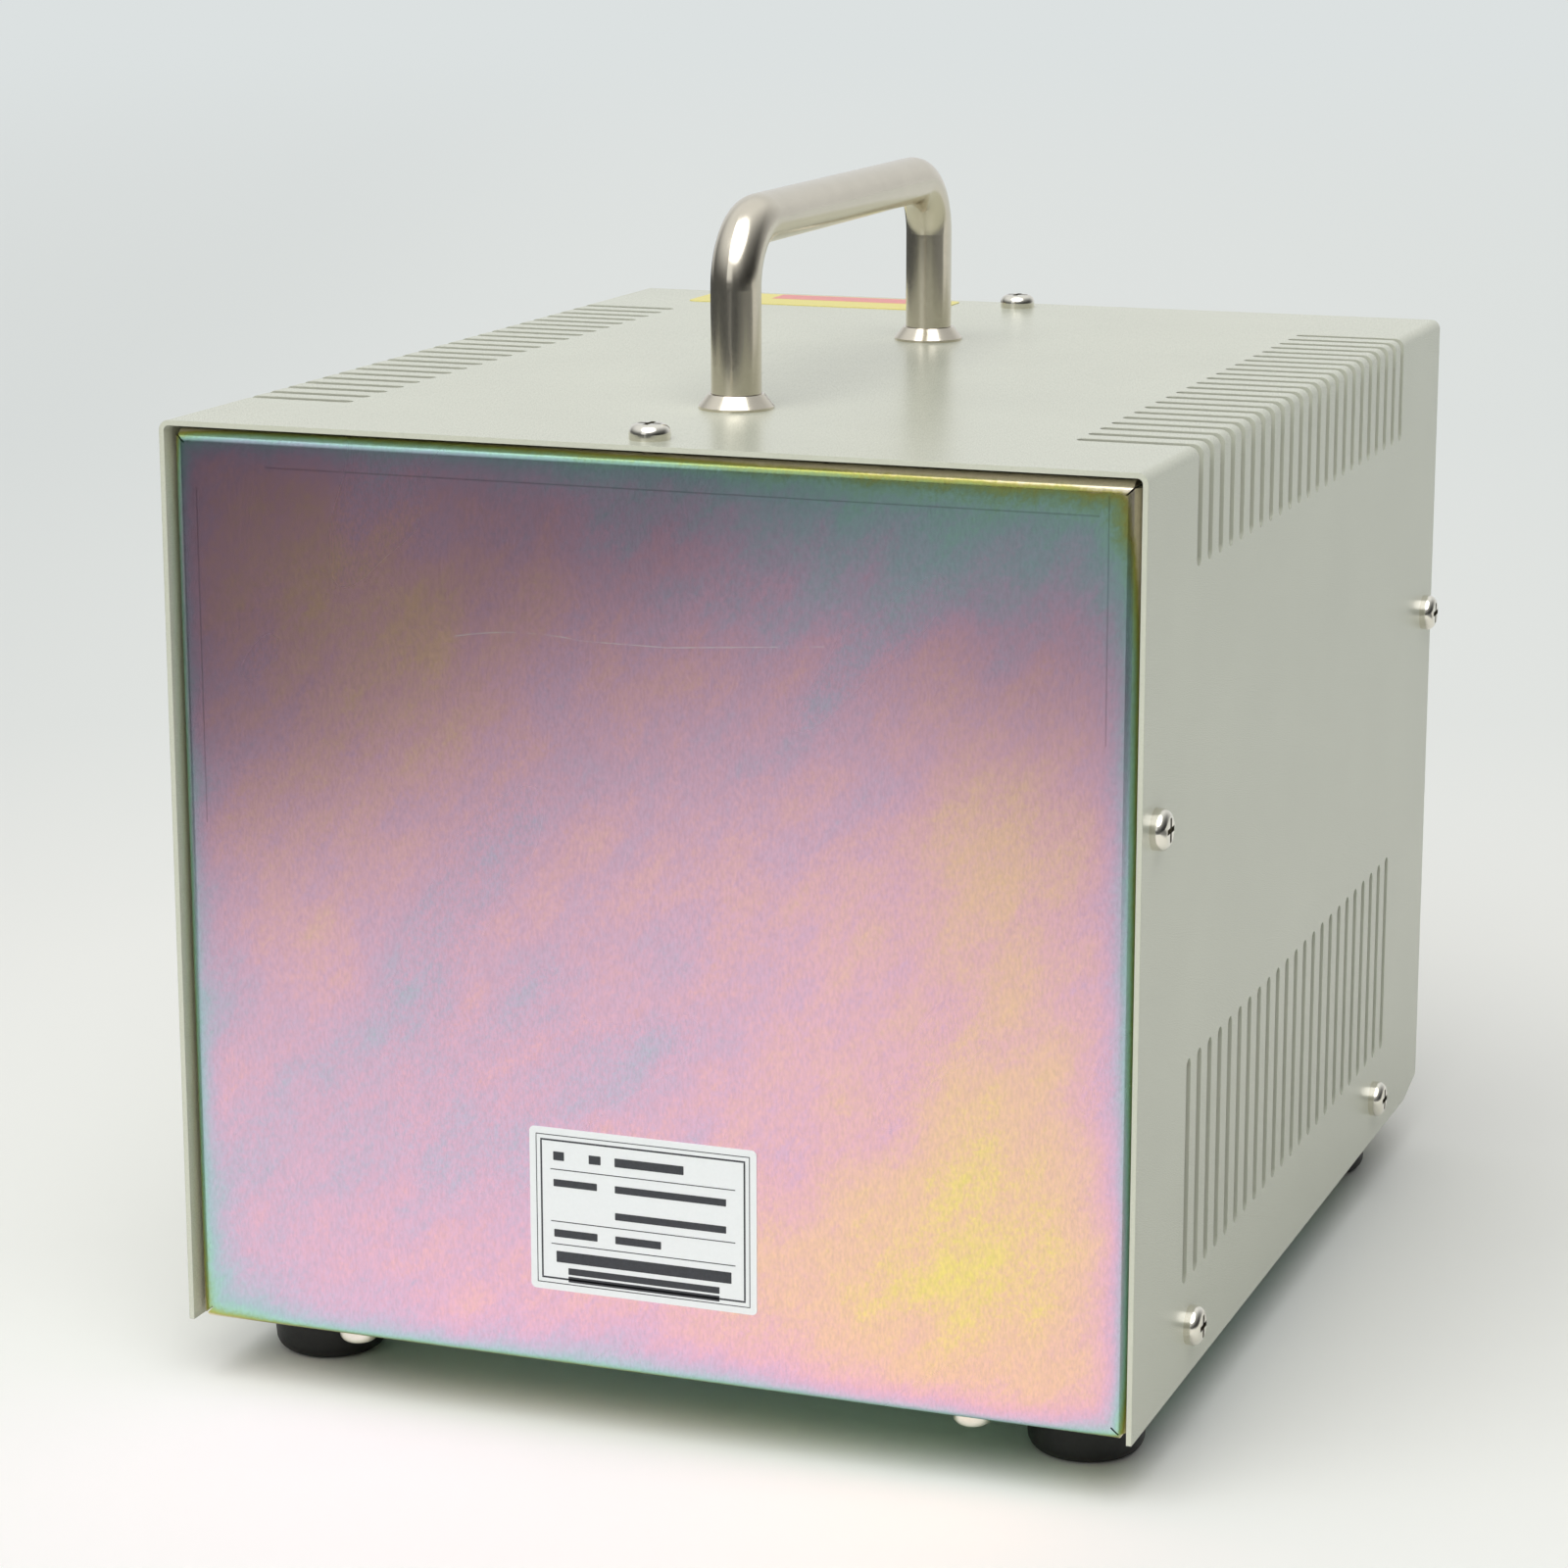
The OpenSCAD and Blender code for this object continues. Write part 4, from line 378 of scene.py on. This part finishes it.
def wound(name, colour, pitch, metallic):
    """Turns of wire or tape that lie one above another along Z, with painted shade in the grooves where they
    meet.
    """
    s = Shade(name)
    p = s.pos()
    wave = s.math("ABSOLUTE", s.math("SINE", s.product(s.axes(p)[2], math.pi / pitch)))
    tone = s.noise(300.0, 3.0, 0.6, s.stretch(p, 0.1, 0.1, 1.0))
    # painted shade: the colour darkened to 0.3 in the grooves between turns
    base = s.mix(s.span(wave, 0.0, 0.35, 0.6, 0.0), s.tint(tone, colour, 0.8, 1.2), shifted(colour, 0.3))
    s.set(Base_Color=base, Metallic=metallic, Roughness=s.spread(tone, 0.25, 0.4),
        Normal=s.bump(wave, 0.8, pitch * 0.3))
    return s.mat


def satin_film(name, colour):
    """Printed sticker film: satin, very slightly cockled."""
    rough = 0.34
    s = Shade(name)
    fibre = s.noise(1400.0, 3.0, 0.6)
    height = s.math("ADD", s.noise(60.0, 3.0), s.product(fibre, 0.08))
    s.set(Base_Color=s.tint(fibre, colour, 0.985, 1.01),
        Roughness=s.spread(fibre, rough - 0.03, rough + 0.05), Normal=s.bump(height, 0.12, 0.0003))
    return s.mat


def clear(name, colour, rough, through):
    """Tinted clear moulding."""
    s = Shade(name)
    swirl = s.noise(220.0, 3.0)
    s.set(Base_Color=s.tint(swirl, colour, 0.9, 1.08), Roughness=s.spread(swirl, rough, rough + 0.06),
        Normal=s.bump(swirl, 0.05, 0.0001), Transmission_Weight=through, IOR=1.49)
    return s.mat


def ink(name, colour, rough):
    """Screen-printed ink, a little uneven in its cover."""
    s = Shade(name)
    cover = s.noise(1800.0, 3.0, 0.6)
    s.set(Base_Color=s.tint(cover, colour, 0.9, 1.25, 0.35, 0.7),
        Roughness=s.spread(cover, rough - 0.05, rough + 0.08))
    return s.mat


LOOKS = {
    "cover_paint": paint("cover_paint_look", srgb(205, 208, 192)),
    "panel_paint": paint("panel_paint_look", srgb(209, 210, 194)),
    "passivate": passivate("rear_panel_look", True),
    "passivate_base": passivate("passivated_base_look"),
    # polish: roughness, its spread, grain of the polish, mottle
    "nickel": plated("handle_nickel_look", srgb(218, 210, 194), 0.20, 0.03, 1400.0, 0.03),
    "screw_nickel": plated("screw_nickel_look", srgb(232, 228, 216), 0.17, 0.04, 2200.0, 0.05),
    "zinc": plated("zinc_look", srgb(186, 186, 182), 0.36, 0.08, 1200.0, 0.10),
    "contact_brass": plated("contact_brass_look", srgb(214, 178, 104), 0.26, 0.06, 1500.0, 0.08),
    "blade_nickel": plated("blade_nickel_look", srgb(214, 209, 196), 0.22, 0.05, 1500.0, 0.05),
    # mouldings: roughness, grain and its depth
    "foot_rubber": moulded("foot_rubber_look", srgb(26, 26, 26), 0.56, 1500.0, 0.35),
    "bobbin_plastic": moulded("bobbin_look", srgb(44, 44, 46), 0.5, 1300.0, 0.25),
    "black_plastic": moulded("black_moulding_look", srgb(34, 34, 35), 0.42, 1700.0, 0.22),
    "gloss_black": moulded("gloss_black_look", srgb(24, 24, 25), 0.26, 1700.0, 0.08),
    "ivory_plastic": moulded("ivory_moulding_look", srgb(226, 222, 208), 0.30, 1800.0, 0.08),
    "rocker_red": moulded("rocker_red_look", srgb(176, 28, 22), 0.28, 1800.0, 0.06),
    "button_white": moulded("button_white_look", srgb(236, 236, 230), 0.34, 1800.0, 0.06),
    "lead_yellow": moulded("lead_yellow_look", srgb(216, 196, 52), 0.36, 1200.0, 0.1),
    "lead_black": moulded("lead_black_look", srgb(30, 30, 31), 0.36, 1200.0, 0.1),
    "lead_white": moulded("lead_white_look", srgb(226, 226, 222), 0.36, 1200.0, 0.1),
    "lead_green": moulded("lead_green_look", srgb(40, 132, 62), 0.36, 1200.0, 0.1),
    "lamination": sheets("lamination_look", srgb(92, 94, 98)),
    # windings: pitch of the turns, metallic
    "copper": wound("copper_look", srgb(178, 92, 48), 0.0016, 1.0),
    "insulation": wound("insulation_look", srgb(214, 196, 128), 0.0120, 0.0),
    # clear mouldings: roughness, share of light let through
    "lens_red": clear("lens_red_look", srgb(226, 40, 24), 0.06, 0.7),
    "bulb_glass": clear("bulb_glass_look", srgb(250, 232, 214), 0.02, 0.95),
    "label_paper": satin_film("label_paper_look", srgb(236, 241, 242)),
    "sticker_film": satin_film("sticker_film_look", srgb(234, 222, 116)),
}
for row in frame["record"]["subparts"]:
    node = nodes[row["node"]]
    node.data.materials.clear()
    node.data.materials.append(LOOKS[row["material_slot"]])


# ---------------------------------------------------------------- printed areas, with no lettering
PER_M = 1000.0  # mm in a metre: the label and the sticker are laid out in mm
INK_GAP, INK_T, INK_CORNER = 0.004, 0.02, 0.12  # gap under the ink, its thickness, radius of its corners


def plates(name, rects, place, body, look):
    """Thin printed areas: each rect is (u0, v0, u1, v1) in mm, and place(u, v, lift) gives its point."""
    bm = bmesh.new()
    for u0, v0, u1, v1 in rects:
        r = min(INK_CORNER, (u1 - u0) / 3.0, (v1 - v0) / 3.0)
        ring = []
        for cu, cv, start in ((u1 - r, v1 - r, 0), (u0 + r, v1 - r, 90), (u0 + r, v0 + r, 180),
                (u1 - r, v0 + r, 270)):
            for turn in (0, 30, 60, 90):
                t = math.radians(start + turn)
                ring.append((cu + r * math.cos(t), cv + r * math.sin(t)))
        low = [bm.verts.new(place(u, v, INK_GAP)) for u, v in ring]
        high = [bm.verts.new(place(u, v, INK_GAP + INK_T)) for u, v in ring]
        bm.faces.new(high)
        bm.faces.new(low[::-1])
        for i in range(len(ring)):
            j = (i + 1) % len(ring)
            bm.faces.new((low[i], low[j], high[j], high[i]))
    bmesh.ops.recalc_face_normals(bm, faces=bm.faces)
    mesh = bpy.data.meshes.new(name)
    bm.to_mesh(mesh)
    bm.free()
    obj = bpy.data.objects.new(name, mesh)
    scene.collection.objects.link(obj)
    mesh.materials.append(look)
    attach(obj, body)


label_low, label_high = [Vector(v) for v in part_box("rating_label")]
label_w, label_h = (label_high.x - label_low.x) * PER_M, (label_high.z - label_low.z) * PER_M
RULES = (0.255, 0.575, 0.715)  # share of the label's height from its top
RULE_INSET, RULE_T = 4.2, 0.18
# plain bars where the original has its wording: share from the top, height, and from and to across
BARS = ((0.17, 1.7, ((4.8, 7.0), (12.0, 14.4), (17.2, 31.0))), (0.335, 1.4, ((4.8, 13.6), (17.2, 39.4))),
    (0.50, 1.4, ((17.2, 39.4),)), (0.645, 1.5, ((4.8, 13.6), (17.2, 26.4))), (0.79, 2.2, ((5.2, 40.4),)),
    (0.875, 1.3, ((7.6, 38.0),)), (0.925, 1.1, ((7.6, 38.0),)))


def border(inset, w):
    """Four bars w wide that frame the label, this far inside its edge."""
    u0, v0, u1, v1 = inset, inset, label_w - inset, label_h - inset
    return [(u0, v0, u1, v0 + w), (u0, v1 - w, u1, v1), (u0, v0 + w, u0 + w, v1 - w),
        (u1 - w, v0 + w, u1, v1 - w)]


def on_label(u, v, lift):
    """u runs across as read from behind the case, v up, both from the label's corner, in mm."""
    return (label_high.x - u / PER_M, label_high.y + lift / PER_M, label_low.z + v / PER_M)


label_rects = border(1.3, 0.16) + border(2.2, 0.34)
for top in RULES:
    v = label_h * (1.0 - top)
    label_rects.append((RULE_INSET, v, label_w - RULE_INSET, v + RULE_T))
for top, height, pieces in BARS:
    v = label_h * (1.0 - top)
    label_rects += [(u0, v - height / 2.0, u1, v + height / 2.0) for u0, u1 in pieces]
plates("label_print", label_rects, on_label, "case",
    ink("label_ink_look", srgb(52, 55, 60), 0.45))

sticker_low, sticker_high = [Vector(v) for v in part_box("top_sticker")]
sticker_len = (sticker_high.x - sticker_low.x) * PER_M
BAND = (8.0, 0.7, sticker_len * 0.72, 8.6)


def on_sticker(u, v, lift):
    """u runs along X and v along Y, both from the sticker's corner, in mm."""
    return (sticker_low.x + u / PER_M, sticker_low.y + v / PER_M, sticker_high.z + lift / PER_M)


plates("sticker_band", [BAND], on_sticker, "case",
    ink("sticker_band_look", srgb(226, 138, 136), 0.35))


# sizes of the rocker's marks in metres
MARK_BAR_W, MARK_BAR_H = 0.0008, 0.0030
MARK_RING_OUT, MARK_RING_IN, MARK_RING_PARTS = 0.0015, 0.0010, 28
MARK_OFF_MIDDLE = 0.22  # share of the rocker's height from its middle to each mark
MARK_LIFTS = (0.000005, 0.000025)  # underside and face of the ink above the rocker
BOX_FACES = ((4, 5, 6, 7), (3, 2, 1, 0), (0, 1, 5, 4), (1, 2, 6, 5), (2, 3, 7, 6), (3, 0, 4, 7))


def rocker_marks():
    """The bar and ring of an ordinary mains switch, printed on the two faces of the rocker."""
    rocker = nodes["switch_rocker"]
    skin = BVHTree.FromPolygons([rocker.matrix_world @ v.co for v in rocker.data.vertices],
        [list(f.vertices) for f in rocker.data.polygons])
    low, high = [Vector(v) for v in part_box("switch_rocker")]
    mid_x, mid_z = (low.x + high.x) / 2.0, (low.z + high.z) / 2.0
    off = (high.z - low.z) * MARK_OFF_MIDDLE
    half_w, half_h = MARK_BAR_W / 2.0, MARK_BAR_H / 2.0
    corners = ((-1, -1), (1, -1), (1, 1), (-1, 1))
    quads = [[(mid_x + half_w * a, mid_z + off + half_h * b) for a, b in corners]]
    for i in range(MARK_RING_PARTS):
        t0, t1 = [2.0 * math.pi * k / MARK_RING_PARTS for k in (i, i + 1)]
        quads.append([(mid_x + r * math.cos(t), mid_z - off + r * math.sin(t))
            for r, t in ((MARK_RING_OUT, t0), (MARK_RING_OUT, t1), (MARK_RING_IN, t1), (MARK_RING_IN, t0))])
    verts, faces = [], []
    for quad in quads:
        faces += [[len(verts) + k for k in face] for face in BOX_FACES]
        for lift in MARK_LIFTS:
            for x, z in quad:
                # down onto the rocker from 10 mm in front of it
                hit, normal = skin.ray_cast(Vector((x, low.y - 0.01, z)), Vector((0.0, 1.0, 0.0)))[:2]
                verts.append(hit + normal * lift)
    mesh = bpy.data.meshes.new("rocker_marks")
    mesh.from_pydata([tuple(v) for v in verts], [], faces)
    mesh.update()
    obj = bpy.data.objects.new("rocker_marks", mesh)
    scene.collection.objects.link(obj)
    mesh.materials.append(ink("rocker_mark_look", srgb(236, 234, 228), 0.4))
    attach(obj, "rocker")


rocker_marks()


# ---------------------------------------------------------------- floor and light
BACKDROP = srgb(220, 225, 225)
CAM_SIDE, CAM_DEPTH = 0.352, 0.936  # how far the photo's view is turned from the Y axis, as sine and cosine


def floor_paper_and_shade(s, xyz):
    """Paper of the floor, with the light's fall-off painted in: near the camera whiter, further away and off
    to the sides a little greyer as painted shade.
    """
    depth = s.math("ADD", s.product(xyz[0], -CAM_SIDE), s.product(xyz[1], CAM_DEPTH))
    across = s.math("ADD", s.product(xyz[0], CAM_DEPTH), s.product(xyz[1], CAM_SIDE))
    tone = s.ramp(s.span(depth, -1.2, 0.3), [(0.0, srgb(222, 226, 226)), (0.45, srgb(226, 229, 228)),
        (0.64, srgb(234, 235, 233)), (0.80, srgb(236, 237, 235)), (0.89, srgb(246, 247, 245)),
        (1.0, srgb(250, 251, 249))])
    # painted shade: a little darker off to each side
    tone = s.mix(s.ease(across, -0.15, -0.50), tone, (0.985, 0.99, 0.99, 1), "MULTIPLY")
    return s.mix(s.ease(across, 0.10, 0.42), tone, (0.93, 0.935, 0.94, 1), "MULTIPLY")


def floor_dark(s, xyz):
    """How dark polished metal sees the floor: 0 on the white paper near by, 1 in the room past it."""
    edge = s.math("ADD", xyz[0], s.product(xyz[1], 0.243))
    paper = s.ease(edge, 0.36, 0.50, 1.0, 0.0)
    far = s.ease(xyz[1], 1.25, 1.7, 1.0, 0.0)
    # the stand and the photographer, which a rod in the middle sees past the paper
    stand = s.product(s.ease(xyz[1], 0.50, 0.66), s.ease(xyz[0], 0.10, -0.02), s.ease(xyz[0], -0.75, -0.55))
    # the dimmer far corner on the side of the photo's right-hand wall
    right = s.product(s.ease(xyz[0], -0.34, -0.50), s.ease(xyz[1], -0.42, -0.22))
    lit = s.product(paper, far, s.minus(1.0, stand), s.math("MULTIPLY_ADD", right, -0.82, 1.0))
    return s.minus(1.0, lit)


def make_floor():
    """Paper floor, which reflections see end in a darker room, and which rises into the backdrop far off."""
    bm = bmesh.new()
    bmesh.ops.create_circle(bm, cap_ends=True, radius=9.0, segments=96)
    mesh = bpy.data.meshes.new("studio_floor")
    bm.to_mesh(mesh)
    bm.free()
    obj = bpy.data.objects.new("studio_floor", mesh)
    scene.collection.objects.link(obj)
    s = Shade("studio_floor_look")
    xyz = s.axes()
    s.set(Base_Color=floor_paper_and_shade(s, xyz), Roughness=0.8, Specular_IOR_Level=0.2)
    path = s.add("ShaderNodeLightPath").outputs
    glow = s.add("ShaderNodeEmission", {"Color": (0.085, 0.09, 0.092, 1), "Strength": 1.0}).outputs[0]
    mirrored = s.math("MAXIMUM", path["Is Glossy Ray"], path["Is Transmission Ray"])
    both = s.blend(s.product(mirrored, floor_dark(s, xyz)), s.bsdf.outputs[0], glow)
    reach = s.math("POWER", s.math("MULTIPLY_ADD", xyz[0], xyz[0], s.product(xyz[1], xyz[1])), 0.5)
    rise = s.product(s.ease(reach, 1.2, 5.0), path["Is Camera Ray"])
    backdrop = s.add("ShaderNodeEmission", {"Color": BACKDROP, "Strength": 1.0}).outputs[0]
    s.put(s.out.inputs["Surface"], s.blend(rise, both, backdrop))
    mesh.materials.append(s.mat)


def make_world():
    """A studio: pale cove behind the object, light overhead, a darker room behind the camera."""
    world = bpy.data.worlds.new("studio_air")
    scene.world = world
    world.use_nodes = True
    world.node_tree.nodes.clear()
    w = Tree(world.node_tree)
    x, y, z = w.add("ShaderNodeSeparateXYZ", {0: w.add("ShaderNodeTexCoord").outputs["Generated"]}).outputs
    # the room light is weaker from the side that the right-hand face of the photographed case looks to
    shade = w.ease(x, -0.9, 0.4, 0.05, 1.0)
    over = w.ease(z, 0.05, 0.75, 0.10, 0.92)
    cove = w.ease(y, -0.05, -0.75, 0.0, 0.80)
    seen = w.product(w.math("MAXIMUM", over, cove), w.ease(x, -0.95, -0.2, 0.25, 1.0))
    # the lamp behind the camera that folds and round heads catch as a bright line
    lamp = w.product(w.ease(z, 0.06, 0.14), w.ease(z, 0.70, 0.55),
        w.product(w.ease(x, 0.56, 0.36), w.ease(x, -0.15, 0.05)), w.ease(y, 0.45, 0.65))

    def background(colour, strength):
        return w.add("ShaderNodeBackground", {"Color": colour, "Strength": strength}).outputs[0]

    soft = background((1.0, 0.995, 0.955, 1), w.product(shade, 0.59))
    glossy = background((0.97, 0.99, 1.0, 1), w.math("MAXIMUM", seen, lamp))
    path = w.add("ShaderNodeLightPath").outputs
    first = w.blend(path["Is Glossy Ray"], soft, glossy)
    second = w.blend(path["Is Camera Ray"], first, background(BACKDROP, 1.0))
    w.add("ShaderNodeOutputWorld", {"Surface": second})


def sun(name, towards, angle, strength, colour):
    """Large even light from far off, so the floor is lit alike near and far."""
    data = bpy.data.lights.new(name, "SUN")
    data.angle = math.radians(angle)
    data.energy = strength
    data.color = colour
    obj = bpy.data.objects.new(name, data)
    scene.collection.objects.link(obj)
    obj.rotation_mode = "QUATERNION"
    obj.rotation_quaternion = Vector(towards).to_track_quat("Z", "Y")


make_floor()
make_world()
sun("overhead_light", towards=(-0.10, 0.54, 1.0), angle=64.0, strength=2.15, colour=(1.0, 0.995, 0.985))
